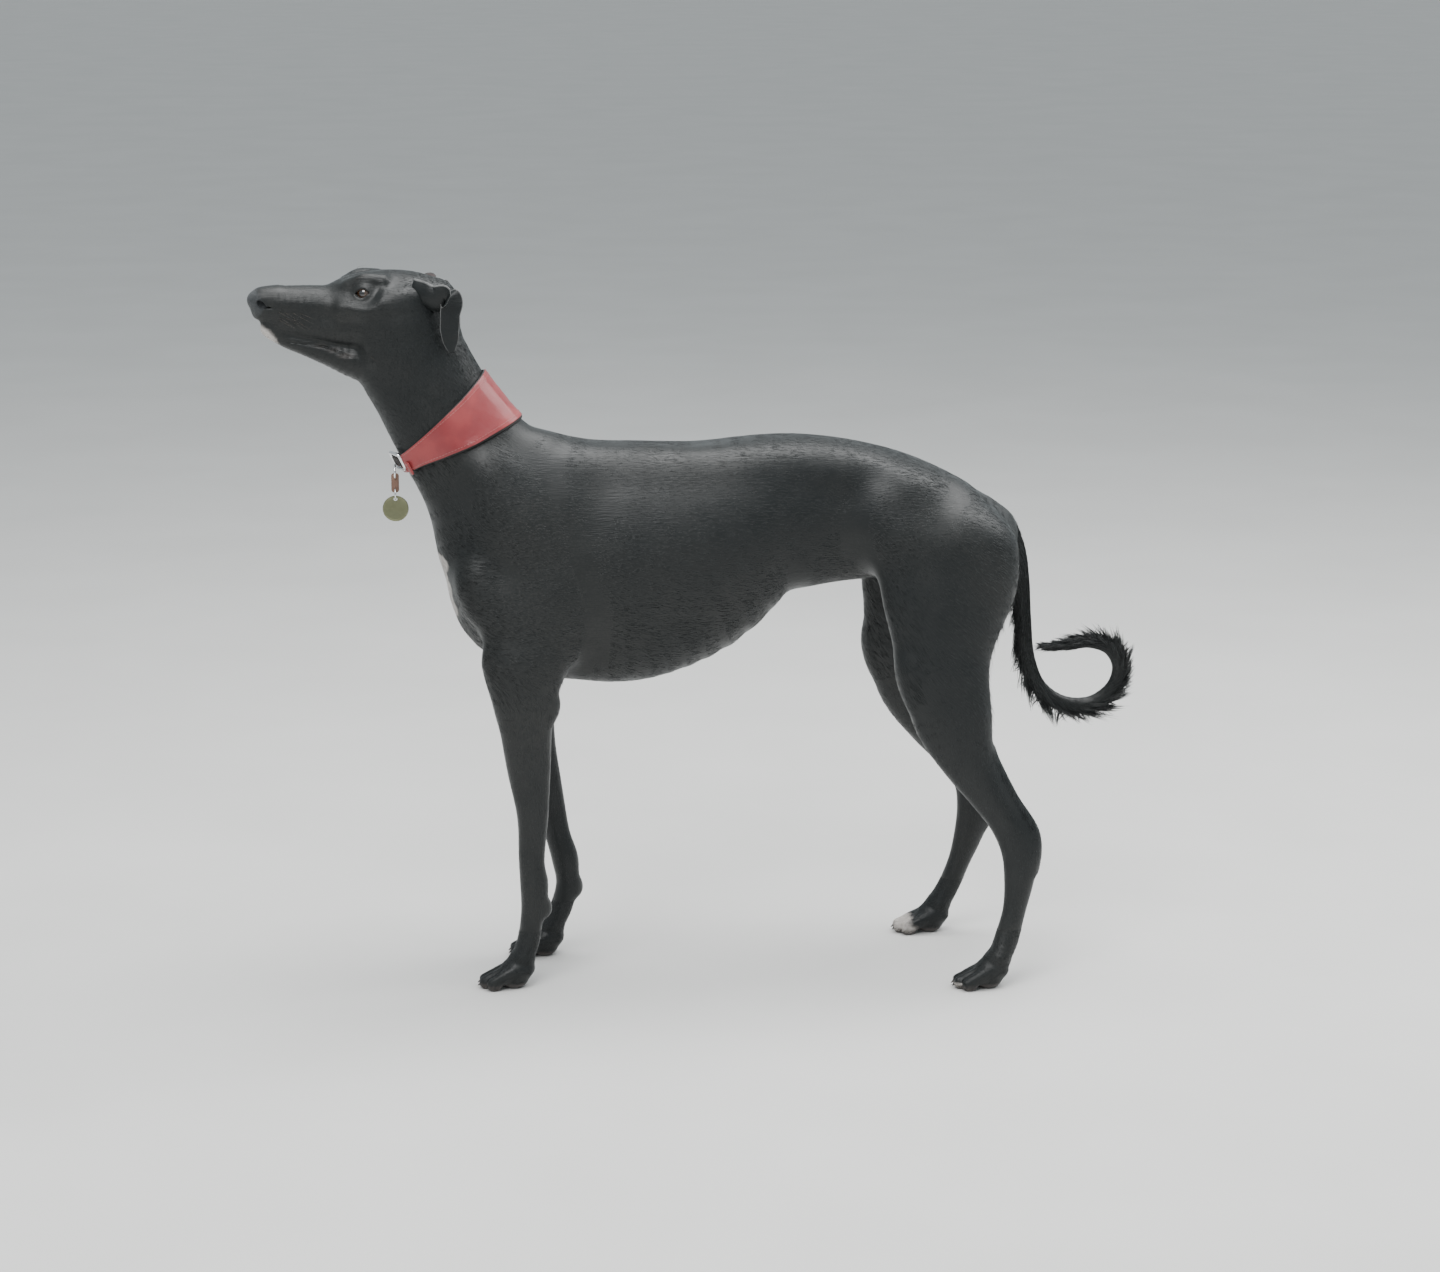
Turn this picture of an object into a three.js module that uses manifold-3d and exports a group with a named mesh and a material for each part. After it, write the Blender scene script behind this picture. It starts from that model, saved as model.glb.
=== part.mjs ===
// A black greyhound standing still, life size, with a broad leather collar and a name tag.
// Millimetres, +Z up. The dog faces -X, its left side is on -Y, and the floor is at Z = 0.
//
// The whole animal is first described as one soft field: tubes and balls for bones and muscles that
// melt into each other. Each body part is then a tube of rings whose rays meet that field, and thin
// flat cuts part it from its neighbours. The collar and what hangs on it are built round the neck.
import * as THREE from "three";
import { mergeVertices } from "three/addons/utils/BufferGeometryUtils.js";
import Module from "manifold-3d";

const wasm = await Module();
wasm.setup();

// Driving sizes
const GAP = 0.3; // kept between touching parts
const LEFT = -1;
const RIGHT = 1;
const SIDES = { left: LEFT, right: RIGHT };
const FORE_WIDTH = 124; // between the middles of the forepaws
const HIND_WIDTH = 230; // between the middles of the hind paws
const EYE_RADIUS = 10.6;
const HEAD_ORIGIN = [-431, 0, 880]; // middle of the head at the height of the eyes
const HEAD_TURN = THREE.MathUtils.degToRad(7); // the head looks a little to its left

const COAT = new THREE.MeshStandardMaterial({ color: 0x17191b, roughness: 0.55 });
const EYE = new THREE.MeshStandardMaterial({ color: 0x1c130d, roughness: 0.08 });
const RED_LEATHER = new THREE.MeshStandardMaterial({ color: 0x9c2f2f, roughness: 0.42 });
const TAN_LEATHER = new THREE.MeshStandardMaterial({ color: 0x6b4a40, roughness: 0.6 });
const STEEL = new THREE.MeshStandardMaterial({ color: 0xc4c7c9, roughness: 0.2, metalness: 1 });
const BRASS = new THREE.MeshStandardMaterial({ color: 0xa9a06a, roughness: 0.3, metalness: 1 });

// Soft forms
// A form has a distance-like function, negative inside, the ball that holds it, and a blend: how far
// it melts into what it joins.

function catmull(a, b, c, d, t) {
  const t2 = t * t;
  return 0.5 * (2 * b + (c - a) * t + (2 * a - 5 * b + 4 * c - d) * t2 + (3 * b - a - 3 * c + d) * t2 * t);
}

// Rows of numbers with smooth rows put between them.
function smoothRows(rows, steps) {
  const at = (i) => rows[Math.max(0, Math.min(rows.length - 1, i))];
  const made = [];
  for (let i = 0; i < rows.length - 1; i++)
    for (let k = 0; k < steps; k++)
      made.push(rows[i].map((_, j) => catmull(at(i - 1)[j], at(i)[j], at(i + 1)[j], at(i + 2)[j], k / steps)));
  made.push(rows[rows.length - 1]);
  return made;
}

// Distance-like value of a point given in an ellipsoid's own axes.
function ellipsoidValue(x, y, z, a, b, c) {
  const near = Math.hypot(x / a, y / b, z / c);
  const slope = Math.hypot(x / (a * a), y / (b * b), z / (c * c));
  return slope < 1e-9 ? -Math.min(a, b, c) : (near * (near - 1)) / slope;
}

// A tube through stations [x, y, z, half width, half depth]. Its width lies along across.
function tube(stations, blend, { across = [0, 1, 0], steps = 4 } = {}) {
  const rows = smoothRows(stations, steps);
  const wide = new THREE.Vector3(...across);
  const parts = [];
  for (let i = 0; i < rows.length - 1; i++) {
    const start = new THREE.Vector3(...rows[i]);
    const run = new THREE.Vector3(...rows[i + 1]).sub(start);
    const length = run.length();
    const along = run.clone().normalize();
    const side = wide.clone().addScaledVector(along, -wide.dot(along)).normalize();
    const deep = new THREE.Vector3().crossVectors(along, side);
    parts.push({ start, along, side, deep, length, from: rows[i], to: rows[i + 1] });
  }
  const box = new THREE.Box3().setFromPoints(rows.map((r) => new THREE.Vector3(...r)));
  const centre = box.getCenter(new THREE.Vector3());
  const radius = Math.max(...rows.map((r) => centre.distanceTo(new THREE.Vector3(...r)) + Math.max(r[3], r[4])));
  const value = (x, y, z) => {
    let least = Infinity;
    for (const { start, along, side, deep, length, from, to } of parts) {
      const px = x - start.x, py = y - start.y, pz = z - start.z;
      const s = px * along.x + py * along.y + pz * along.z;
      const t = Math.max(0, Math.min(1, s / length));
      const width = from[3] + (to[3] - from[3]) * t;
      const depth = from[4] + (to[4] - from[4]) * t;
      const cap = Math.min(width, depth);
      const beyond = s - t * length;
      const a = px * side.x + py * side.y + pz * side.z;
      const b = px * deep.x + py * deep.y + pz * deep.z;
      least = Math.min(least, ellipsoidValue(a, b, beyond, width, depth, cap));
    }
    return least;
  };
  return { value, centre, radius, blend };
}

// An ellipsoid turned by Euler angles in degrees.
function ball(at, radii, blend, turn = [0, 0, 0]) {
  const euler = new THREE.Euler(...turn.map(THREE.MathUtils.degToRad));
  const m = new THREE.Matrix4().makeRotationFromEuler(euler).transpose().elements;
  const value = (x, y, z) => {
    const dx = x - at[0], dy = y - at[1], dz = z - at[2];
    return ellipsoidValue(
      m[0] * dx + m[4] * dy + m[8] * dz,
      m[1] * dx + m[5] * dy + m[9] * dz,
      m[2] * dx + m[6] * dy + m[10] * dz,
      ...radii,
    );
  };
  return { value, centre: new THREE.Vector3(...at), radius: Math.max(...radii), blend };
}

// The field of many forms: each is added softly, and the hollows are then taken away softly.
function fieldOf(forms, hollows = []) {
  const far = (form, x, y, z) =>
    Math.hypot(x - form.centre.x, y - form.centre.y, z - form.centre.z) - form.radius;
  return (x, y, z) => {
    let value = 400;
    for (const form of forms) {
      if (far(form, x, y, z) > value + form.blend) continue;
      const other = form.value(x, y, z);
      const h = Math.max(form.blend - Math.abs(value - other), 0) / form.blend;
      value = Math.min(value, other) - (h * h * form.blend) / 4;
    }
    for (const hollow of hollows) {
      if (far(hollow, x, y, z) > hollow.blend - value) continue;
      const other = -hollow.value(x, y, z);
      const h = Math.max(hollow.blend - Math.abs(value - other), 0) / hollow.blend;
      value = Math.max(value, other) + (h * h * hollow.blend) / 4;
    }
    return value;
  };
}

// The head has its own axes: forward to the nose, out to one side, and up, from between the eyes.
const FORWARD = new THREE.Vector3(-Math.cos(HEAD_TURN), -Math.sin(HEAD_TURN), 0);
const HEAD_SIDE = new THREE.Vector3(-Math.sin(HEAD_TURN), Math.cos(HEAD_TURN), 0);

function inHead(forward, out, up) {
  return [
    HEAD_ORIGIN[0] + FORWARD.x * forward + HEAD_SIDE.x * out,
    HEAD_ORIGIN[1] + FORWARD.y * forward + HEAD_SIDE.y * out,
    HEAD_ORIGIN[2] + up,
  ];
}

// Torso and neck: rows are [x, y, z, half width, half height]
const TRUNK = [
  [-306, 0, 552, 44, 62], // breast
  [-278, 0, 552, 62, 112],
  [-230, 0, 540, 74, 144],
  [-170, 0, 534, 82, 151], // ribs
  [-110, 0, 534, 88, 152],
  [-40, 0, 549, 90, 136],
  [35, 0, 585, 79, 104],
  [100, 0, 594, 66, 98], // loin
  [160, 0, 594, 60, 90],
  [220, 0, 586, 62, 80],
  [280, 0, 568, 58, 68], // croup
  [334, 0, 554, 40, 46],
];
const NECK = [
  [-240, 0, 596, 60, 98],
  [-297, 0, 654, 56, 82],
  [-336, 0, 711, 52, 72.5],
  [-362, 0, 758, 49, 69],
  [-386, 0, 806, 46, 68],
  [-396, 0, 850, 40, 50],
];

function trunkForms() {
  const forms = [tube(TRUNK, 10), tube(NECK, 48)];
  for (const s of [LEFT, RIGHT]) {
    // Long muscles of the back, either side of the spine
    forms.push(tube([
      [-190, s * 22, 654, 22, 24],
      [-40, s * 27, 652, 26, 26],
      [90, s * 29, 658, 26, 26],
      [200, s * 30, 640, 26, 26],
      [290, s * 26, 603, 22, 24],
    ], 22));
    // Shoulder blade, its muscles, the upper arm and the breast muscle
    forms.push(ball([-252, s * 52, 590], [38, 23, 100], 26, [0, -27, 0]));
    forms.push(ball([-300, s * 54, 508], [30, 24, 46], 24, [0, -20, 0]));
    forms.push(ball([-240, s * 64, 458], [56, 25, 84], 26, [0, 14, 0]));
    forms.push(ball([-300, s * 22, 512], [26, 22, 62], 24, [0, -15, 0]));
    // Pelvis, thigh and buttock
    forms.push(ball([220, s * 50, 588], [50, 30, 56], 30, [0, 25, 0]));
    forms.push(ball([312, s * 45, 546], [48, 38, 66], 32, [0, -25, 0]));
  }
  return forms;
}

// Head: rows are [forward, out, up, half width, half height] in the head's own axes
const SKULL = [
  [-78, 0, -22, 34, 34],
  [-45, 0, -21, 44, 40],
  [-8, 0, -19, 42, 41],
  [20, 0, -18, 33, 35],
  [46, 0, -19, 28, 26],
  [80, 0, -16, 24, 23],
  [110, 0, -12, 20, 19],
  [128, 0, -9, 15, 14],
];
const UPPER_LIPS = [
  [130, 0, -20, 12.5, 16],
  [100, 0, -33, 18.5, 20],
  [62, 0, -42, 25, 22],
  [28, 0, -46, 31, 26],
];
const LOWER_JAW = [
  [124, 0, -46, 11, 8.5],
  [105, 0, -57, 13, 11.5],
  [76, 0, -67, 16, 14.5],
  [46, 0, -78, 21, 18],
  [12, 0, -88, 27, 25],
  [-25, 0, -92, 30, 32],
];

function headTube(rows, blend, steps = 4) {
  const placed = rows.map(([f, o, u, wide, high]) => [...inHead(f, o, u), wide, high]);
  return tube(placed, blend, { across: HEAD_SIDE.toArray(), steps });
}

function headForms() {
  const forms = [headTube(SKULL, 26), headTube(UPPER_LIPS, 12), headTube(LOWER_JAW, 7)];
  for (const s of [LEFT, RIGHT]) {
    const at = (f, o, u) => inHead(f, s * o, u);
    forms.push(ball(at(-30, 33, -50), [36, 16, 40], 26)); // cheek
    forms.push(tube([
      [...at(34, 29, -20), 8, 9],
      [...at(8, 37, -17), 8, 9],
      [...at(-22, 43, -12), 8, 10],
      [...at(-52, 40, -8), 8, 10],
    ], 14)); // cheekbone
    forms.push(tube([
      [...at(26, 19, 8), 7, 7],
      [...at(9, 27, 17), 7, 7],
      [...at(-14, 30, 14), 8, 8],
    ], 12)); // brow
  }
  forms.push(headTube([
    [112, 0, -7, 15, 13.5],
    [128, 0, -8, 15.5, 13],
    [137, 0, -10, 12, 11],
  ], 6)); // nose
  return forms;
}

function headHollows() {
  const hollows = [headTube([
    [60, 0, 20, 7, 4],
    [10, 0, 36, 9, 6],
    [-30, 0, 36, 8, 4],
  ], 10)]; // furrow of the forehead
  for (const s of [LEFT, RIGHT])
    hollows.push(ball(inHead(12, s * 46, -2), [15, 11, 11], 10)); // eye socket
  return hollows;
}

// Legs: rows are [x, y, z, half width, half depth], with y given for the right side
const foreY = FORE_WIDTH / 2;
const hindY = HIND_WIDTH / 2;
const FORELEG = {
  left: [
    [-250, 66, 420, 25, 48],
    [-250, 68, 372, 24, 40],
    [-248, 68, 335, 21, 33],
    [-245, 67, 285, 17.5, 28],
    [-241, 65, 225, 15, 20.5],
    [-243, 63, 165, 13.5, 17],
    [-240, 62, 132, 17, 18.5],
    [-243, 62, 97, 14.5, 15],
    [-247, foreY, 66, 15.5, 15],
    [-254, foreY, 42, 17, 14.5],
  ],
  right: [
    [-246, 66, 420, 25, 44],
    [-243, 68, 372, 24, 38],
    [-238, 68, 335, 21, 31],
    [-232, 67, 285, 17.5, 26],
    [-218, 65, 225, 15, 20],
    [-206, 63, 165, 13.5, 17],
    [-196, 62, 128, 17, 18],
    [-194, 62, 97, 14.5, 15],
    [-201, foreY, 66, 15.5, 15],
    [-212, foreY, 42, 17, 14.5],
  ],
};
const HINDLEG = {
  left: [
    [282, 58, 560, 34, 78],
    [277, 66, 500, 37, 84],
    [273, 74, 440, 35, 66],
    [274, 82, 390, 31, 54],
    [282, 88, 340, 27, 46],
    [302, 92, 292, 22, 34],
    [328, 95, 248, 17, 25],
    [352, 97, 212, 14.5, 22],
    [371, 99, 175, 15, 25],
    [370, 102, 136, 13.5, 20],
    [364, 106, 98, 12.5, 15.5],
    [354, 111, 62, 14.5, 16],
    [345, hindY, 40, 18, 15],
  ],
  right: [
    [278, 58, 560, 34, 78],
    [268, 66, 500, 37, 84],
    [256, 76, 440, 35, 66],
    [252, 84, 390, 31, 54],
    [262, 91, 340, 27, 46],
    [286, 96, 292, 22, 34],
    [316, 100, 248, 17, 25],
    [338, 103, 212, 14.5, 22],
    [347, 105, 175, 15, 25],
    [339, 108, 134, 13.5, 20],
    [328, 111, 98, 12.5, 15.5],
    [316, 113, 66, 14.5, 15],
    [304, hindY, 42, 18, 15],
  ],
};
const WRIST_PAD_DROP = { left: 30, right: 38 }; // of the pad behind the wrist, below its middle
// Heel bone of the hock: [x, y, z] from the tendon to the point of the hock
const HOCK_CORD = {
  left: [
    [332, 88, 300, 7, 8],
    [362, 94, 245, 5, 5.5],
    [386, 98, 205, 6.5, 7],
    [390, 99, 180, 8, 9],
    [386, 101, 150, 8, 9],
  ],
  right: [
    [320, 92, 300, 7, 8],
    [350, 99, 245, 5, 5.5],
    [367, 104, 205, 6.5, 7],
    [366, 105, 180, 8, 9],
    [356, 107, 150, 8, 9],
  ],
};

function mirrored(rows, s) {
  return rows.map(([x, y, ...rest]) => [x, s * y, ...rest]);
}

function legForms(name) {
  const s = SIDES[name];
  const fore = FORELEG[name];
  const hind = HINDLEG[name];
  const elbow = [fore[1][0] + 34, s * 68, 362];
  const carpus = fore[6];
  const stifle = hind[3];
  return [
    tube(mirrored(fore, s), 24),
    ball(elbow, [10, 11, 17], 12, [0, 20, 0]),
    ball([carpus[0] + 18, s * carpus[1], carpus[2] - WRIST_PAD_DROP[name]], [7, 7, 9], 8),
    tube(mirrored(hind, s), 34),
    tube(mirrored(HOCK_CORD[name], s), 8),
    ball([stifle[0] - 44, s * (stifle[1] + 2), stifle[2] + 6], [13, 18, 30], 20, [0, -12, 0]), // kneecap
    ball([stifle[0] + 34, s * (stifle[1] + 2), stifle[2] - 30], [20, 20, 60], 24, [0, -10, 0]), // calf
  ];
}

// Paws: four arched toes in front of a pad, each with a claw
const TOE_SPREAD = [-1.5, -0.5, 0.5, 1.5];
const PAWS = {
  left_forepaw: { heel: [-254, -foreY], length: 50, wide: 11.2, high: 18 },
  right_forepaw: { heel: [-212, foreY], length: 50, wide: 11.2, high: 18 },
  left_hindpaw: { heel: [343, -hindY], length: 50, wide: 10.4, high: 17.5 },
  right_hindpaw: { heel: [302, hindY], length: 54, wide: 10.4, high: 17.5 },
};
const CLAW = { radius: 2.7, length: 15, droop: THREE.MathUtils.degToRad(32) };

function toesOf({ heel, length, wide, high }) {
  return TOE_SPREAD.map((place) => {
    const reach = length - (Math.abs(place) > 1 ? 9 : 0);
    const y = heel[1] + place * wide;
    return {
      rows: [
        [heel[0] + 2, heel[1] + place * wide * 0.45, high + 6, 7.5, 8],
        [heel[0] - reach * 0.42, heel[1] + place * wide * 0.85, high + 3, 7, 8],
        [heel[0] - reach * 0.76, y, high - 4, 6.6, 8.2],
        [heel[0] - reach, y, 8.5, 6.2, 7.4],
      ],
      claw: [heel[0] - reach - 2, y, 10],
    };
  });
}

function pawForms(paw) {
  const { heel, wide } = paw;
  const forms = toesOf(paw).map(({ rows }) => tube(rows, 4.5, { steps: 3 }));
  forms.push(ball([heel[0] - 13, heel[1], 9], [17, wide * 1.55, 11], 8)); // sole pad
  for (const { rows } of toesOf(paw)) forms.push(ball([rows[3][0] + 3, rows[3][1], 5], [8.5, 6, 6.5], 4));
  return forms;
}

// Tail: it hangs behind the thighs and curls up and back in a hook
const TAIL = [
  [332, 0, 592, 15, 15],
  [358, 0, 576, 12.5, 13],
  [374, 1, 545, 11.5, 12],
  [382, 2, 503, 11, 11.5],
  [386, 2, 453, 10.5, 11],
  [392, 3, 402, 10, 10.5],
  [408, 3, 362, 9.5, 10],
  [438, 1, 339, 9, 10],
  [474, -3, 337, 9, 10.5],
  [502, -7, 357, 8.5, 10.5],
  [511, -10, 386, 8.5, 10.5],
  [499, -13, 411, 8, 10],
  [474, -15, 422, 7.5, 9],
  [446, -17, 420, 6.5, 7.5],
  [421, -18, 417, 4.5, 5],
  [405, -19, 418, 1.5, 1.5],
];

const BODY = fieldOf([
  ...trunkForms(),
  ...headForms(),
  ...legForms("left"),
  ...legForms("right"),
  ...Object.values(PAWS).flatMap(pawForms),
], headHollows());
const TAIL_FIELD = fieldOf([tube(TAIL, 1, { steps: 4 })]);

// Solids
function solidOf(geometry) {
  const bare = geometry.clone();
  bare.deleteAttribute("normal");
  bare.deleteAttribute("uv");
  const merged = mergeVertices(bare, 1e-3);
  return new wasm.Manifold(new wasm.Mesh({
    numProp: 3,
    vertProperties: new Float32Array(merged.attributes.position.array),
    triVerts: new Uint32Array(merged.index.array),
  }));
}

// The largest closed surface of a solid, without scraps.
function largest(solid) {
  const pieces = solid.decompose();
  return pieces.reduce((best, piece) => (piece.volume() > best.volume() ? piece : best), pieces[0]);
}

// Everything on the far side of a plane, as a solid for cutting.
const CUT_SIZE = 1500;
function beyond(point, normal) {
  const way = new THREE.Vector3(...normal).normalize();
  const geometry = new THREE.BoxGeometry(CUT_SIZE, CUT_SIZE, CUT_SIZE);
  geometry.translate(0, 0, CUT_SIZE / 2);
  geometry.applyQuaternion(new THREE.Quaternion().setFromUnitVectors(new THREE.Vector3(0, 0, 1), way));
  geometry.translate(...point);
  return solidOf(geometry);
}

// How far from a start, along a ray, the field is first left. The search goes no further than reach.
const RAY_STEP = 1.5;
function exitOf(field, start, way, reach) {
  const at = (r) => field(start.x + way.x * r, start.y + way.y * r, start.z + way.z * r);
  let inside = 0;
  let r = 0;
  while (r < reach) {
    const value = at(r);
    if (value > 0) break;
    inside = r;
    r += Math.max(RAY_STEP, -value * 0.8);
  }
  let outside = Math.min(r, reach);
  if (at(outside) <= 0) return reach;
  for (let i = 0; i < 12; i++) {
    const middle = (inside + outside) / 2;
    if (at(middle) > 0) outside = middle;
    else inside = middle;
  }
  return outside;
}

// A closed tube of rings round a spine, each point moved out along its ray to the field's surface.
// A round end bends its last rings over to the front, and a flat end is closed across its ring.
function wrapped(field, spine, options) {
  const { across = [0, 1, 0], rings, sides, reach = 300, level = 0, roundStart = 0, roundEnd = 0 } = options;
  const { keep = () => -1e3 } = options; // negative where the piece may be
  const bounded = (x, y, z) => Math.max(field(x, y, z) - level, keep(x, y, z));
  const curve = new THREE.CatmullRomCurve3(spine.map((p) => new THREE.Vector3(...p)), false, "centripetal");
  const wide = new THREE.Vector3(...across);
  const rows = [];
  for (let k = roundStart; k > 0; k--) rows.push({ t: 0, tilt: (-Math.PI / 2) * (k / (roundStart + 1)) });
  for (let k = 0; k <= rings; k++) rows.push({ t: k / rings, tilt: 0 });
  for (let k = 1; k <= roundEnd; k++) rows.push({ t: 1, tilt: (Math.PI / 2) * (k / (roundEnd + 1)) });
  const points = [];
  const put = (start, way) => {
    const r = exitOf(bounded, start, way, reach);
    points.push(start.x + way.x * r, start.y + way.y * r, start.z + way.z * r);
  };
  const frames = rows.map(({ t, tilt }) => {
    const start = curve.getPointAt(t);
    const along = curve.getTangentAt(t);
    const side = wide.clone().addScaledVector(along, -wide.dot(along)).normalize();
    return { start, along, side, up: new THREE.Vector3().crossVectors(along, side), tilt };
  });
  for (const { start, along, side, up, tilt } of frames)
    for (let j = 0; j < sides; j++) {
      const angle = (2 * Math.PI * j) / sides;
      const way = side.clone().multiplyScalar(Math.cos(angle)).addScaledVector(up, Math.sin(angle));
      put(start, way.multiplyScalar(Math.cos(tilt)).addScaledVector(along, Math.sin(tilt)));
    }
  const first = frames[0];
  const last = frames[frames.length - 1];
  const startTip = points.length / 3;
  if (roundStart) put(first.start, first.along.clone().negate());
  else points.push(...first.start.toArray());
  if (roundEnd) put(last.start, last.along);
  else points.push(...last.start.toArray());
  const index = [];
  for (let i = 0; i < rows.length - 1; i++)
    for (let j = 0; j < sides; j++) {
      const a = i * sides + j;
      const b = i * sides + ((j + 1) % sides);
      index.push(a, b, b + sides, a, b + sides, a + sides);
    }
  const top = (rows.length - 1) * sides;
  for (let j = 0; j < sides; j++) {
    const next = (j + 1) % sides;
    index.push(startTip, next, j);
    index.push(startTip + 1, top + j, top + next);
  }
  const geometry = new THREE.BufferGeometry();
  geometry.setAttribute("position", new THREE.Float32BufferAttribute(points, 3));
  geometry.setIndex(index);
  return solidOf(geometry);
}

const dog = new THREE.Group();

function addNode(name, solid, material) {
  const { vertProperties, triVerts } = largest(solid).getMesh();
  const geometry = new THREE.BufferGeometry();
  geometry.setAttribute("position", new THREE.BufferAttribute(vertProperties, 3));
  geometry.setIndex(new THREE.BufferAttribute(triVerts, 1));
  geometry.computeVertexNormals();
  const mesh = new THREE.Mesh(geometry, material);
  mesh.name = name;
  dog.add(mesh);
}

// Cuts between the parts
const NECK_WAY = new THREE.Vector3(-0.46, 0, 0.89).normalize(); // up the neck
const HEAD_CUT = [-386, 0, 806];
const SHOULDER_CUT = [-285, 0, 640];
const ELBOW_CUT = 402; // height
const THIGH_CUT = [270, 0, 548];
const THIGH_WAY = new THREE.Vector3(-0.13, 0, 1).normalize();
const PAW_CUT = 44; // height
const UP = new THREE.Vector3(0, 0, 1);
const HALF_GAP = GAP / 2;
const FORE_BOUNDS = { inner: 44, from: -420, to: -150 };
const HIND_BOUNDS = { inner: 18, from: 182, to: 460 };

function shifted(point, way, distance) {
  return new THREE.Vector3(...point).addScaledVector(way, distance).toArray();
}

function above(solid, point, way) {
  return solid.subtract(beyond(shifted(point, way, HALF_GAP), way.clone().negate().toArray()));
}

function below(solid, point, way) {
  return solid.subtract(beyond(shifted(point, way, -HALF_GAP), way.toArray()));
}

// The space of one leg: below its cut and outside its inner wall.
function legRegion(s, { inner, from, to }, cutPoint, cutWay, grow) {
  const geometry = new THREE.BoxGeometry(to - from + 2 * grow, 300, 900);
  geometry.translate((from + to) / 2, s * (150 + inner - grow), 300);
  return solidOf(geometry).subtract(beyond(shifted(cutPoint, cutWay, grow), cutWay.toArray()));
}

// The same space as a value for wrapping, a little larger, so that the exact cut follows.
const SPARE = 3;
const OVERRUN = 32; // across the cut at the top of a leg
function legKeep(s, { inner, from, to }, cutPoint, cutWay, spare = SPARE, overrun = OVERRUN) {
  const level = cutWay.dot(new THREE.Vector3(...cutPoint));
  return (x, y, z) => Math.max(
    cutWay.x * x + cutWay.z * z - level - overrun, inner - spare - s * y, from - spare - x, x - to - spare,
  );
}

const foreSpace = (s, grow) => legRegion(s, FORE_BOUNDS, [0, 0, ELBOW_CUT], UP, grow);
const hindSpace = (s, grow) => legRegion(s, HIND_BOUNDS, THIGH_CUT, THIGH_WAY, grow);

// Tail, in four lengths, each between two of its stations
const place = ([x, y, z]) => [x, y, z];
const TAIL_CURVE = new THREE.CatmullRomCurve3(
  TAIL.map((p) => new THREE.Vector3(...place(p))), false, "centripetal",
);
const TAIL_LENGTHS = { tail_root: [0, 3.5], tail_middle: [3.5, 7.5], tail_curl: [7.5, 11.5], tail_tip: [11.5, 15] };
const tailAt = (station) => TAIL_CURVE.getPoint(station / (TAIL.length - 1));
const tailWay = (station) => TAIL_CURVE.getTangent(station / (TAIL.length - 1));
function tailWrap(from, to, level) {
  const first = Math.max(0, Math.ceil(from) - 1);
  const spine = TAIL.slice(first, Math.floor(to) + 2).map(place);
  const round = { roundStart: first === 0 ? 2 : 0, roundEnd: to === TAIL.length - 1 ? 2 : 0 };
  return wrapped(TAIL_FIELD, spine, { rings: 3 * spine.length - 3, sides: 8, reach: 22, level, ...round });
}

// Long hair along the outer side of the tail. A lock is a flat cone with its root sunk in the tail.
const LOCKS = { count: 29, from: 4.2, to: 14.4, length: 27, width: 4.6, thickness: 1.8 };
let seed = 7;
function chance() {
  seed = (seed * 16807) % 2147483647;
  return seed / 2147483647;
}

function tailLock(station, turn, length) {
  const along = tailWay(station);
  const side = new THREE.Vector3(0, 1, 0).addScaledVector(along, -along.y).normalize();
  const out = new THREE.Vector3().crossVectors(side, along); // the outer side of the curl
  const outward = out.multiplyScalar(Math.cos(turn)).addScaledVector(side, Math.sin(turn));
  const way = outward.clone().addScaledVector(along, 1.25).normalize();
  const lock = new THREE.ConeGeometry(1, 1, 5);
  lock.scale(LOCKS.width, length, LOCKS.thickness);
  lock.translate(0, length / 2, 0);
  const sideways = new THREE.Vector3().crossVectors(way, outward).normalize();
  lock.applyMatrix4(new THREE.Matrix4().makeBasis(new THREE.Vector3().crossVectors(way, sideways), way, sideways));
  const root = tailAt(station).addScaledVector(outward, 3.5);
  lock.translate(root.x, root.y, root.z);
  return solidOf(lock);
}

const locks = Array.from({ length: LOCKS.count }, (_, i) => {
  const share = (i + 0.5) / LOCKS.count;
  const station = LOCKS.from + (LOCKS.to - LOCKS.from) * share;
  const turn = ((i % 3) - 1) * 0.7 + (chance() - 0.5) * 0.3;
  const swell = Math.sin(Math.PI * Math.min(1, 0.15 + share));
  return { station, solid: tailLock(station, turn, LOCKS.length * (0.5 + 0.5 * swell) * (0.8 + 0.4 * chance())) };
});
for (const [name, [from, to]] of Object.entries(TAIL_LENGTHS)) {
  const own = locks.filter(({ station }) => station > from + 0.45 && station < to - (name === "tail_tip" ? 0 : 0.75));
  let piece = wasm.Manifold.union([tailWrap(from, to, 0), ...own.map(({ solid }) => solid)]);
  if (from > 0) piece = above(piece, tailAt(from).toArray(), tailWay(from));
  if (to < TAIL.length - 1) piece = below(piece, tailAt(to).toArray(), tailWay(to));
  addNode(name, piece, COAT);
}
const tailRoom = tailWrap(0, 3.5, GAP);

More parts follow.
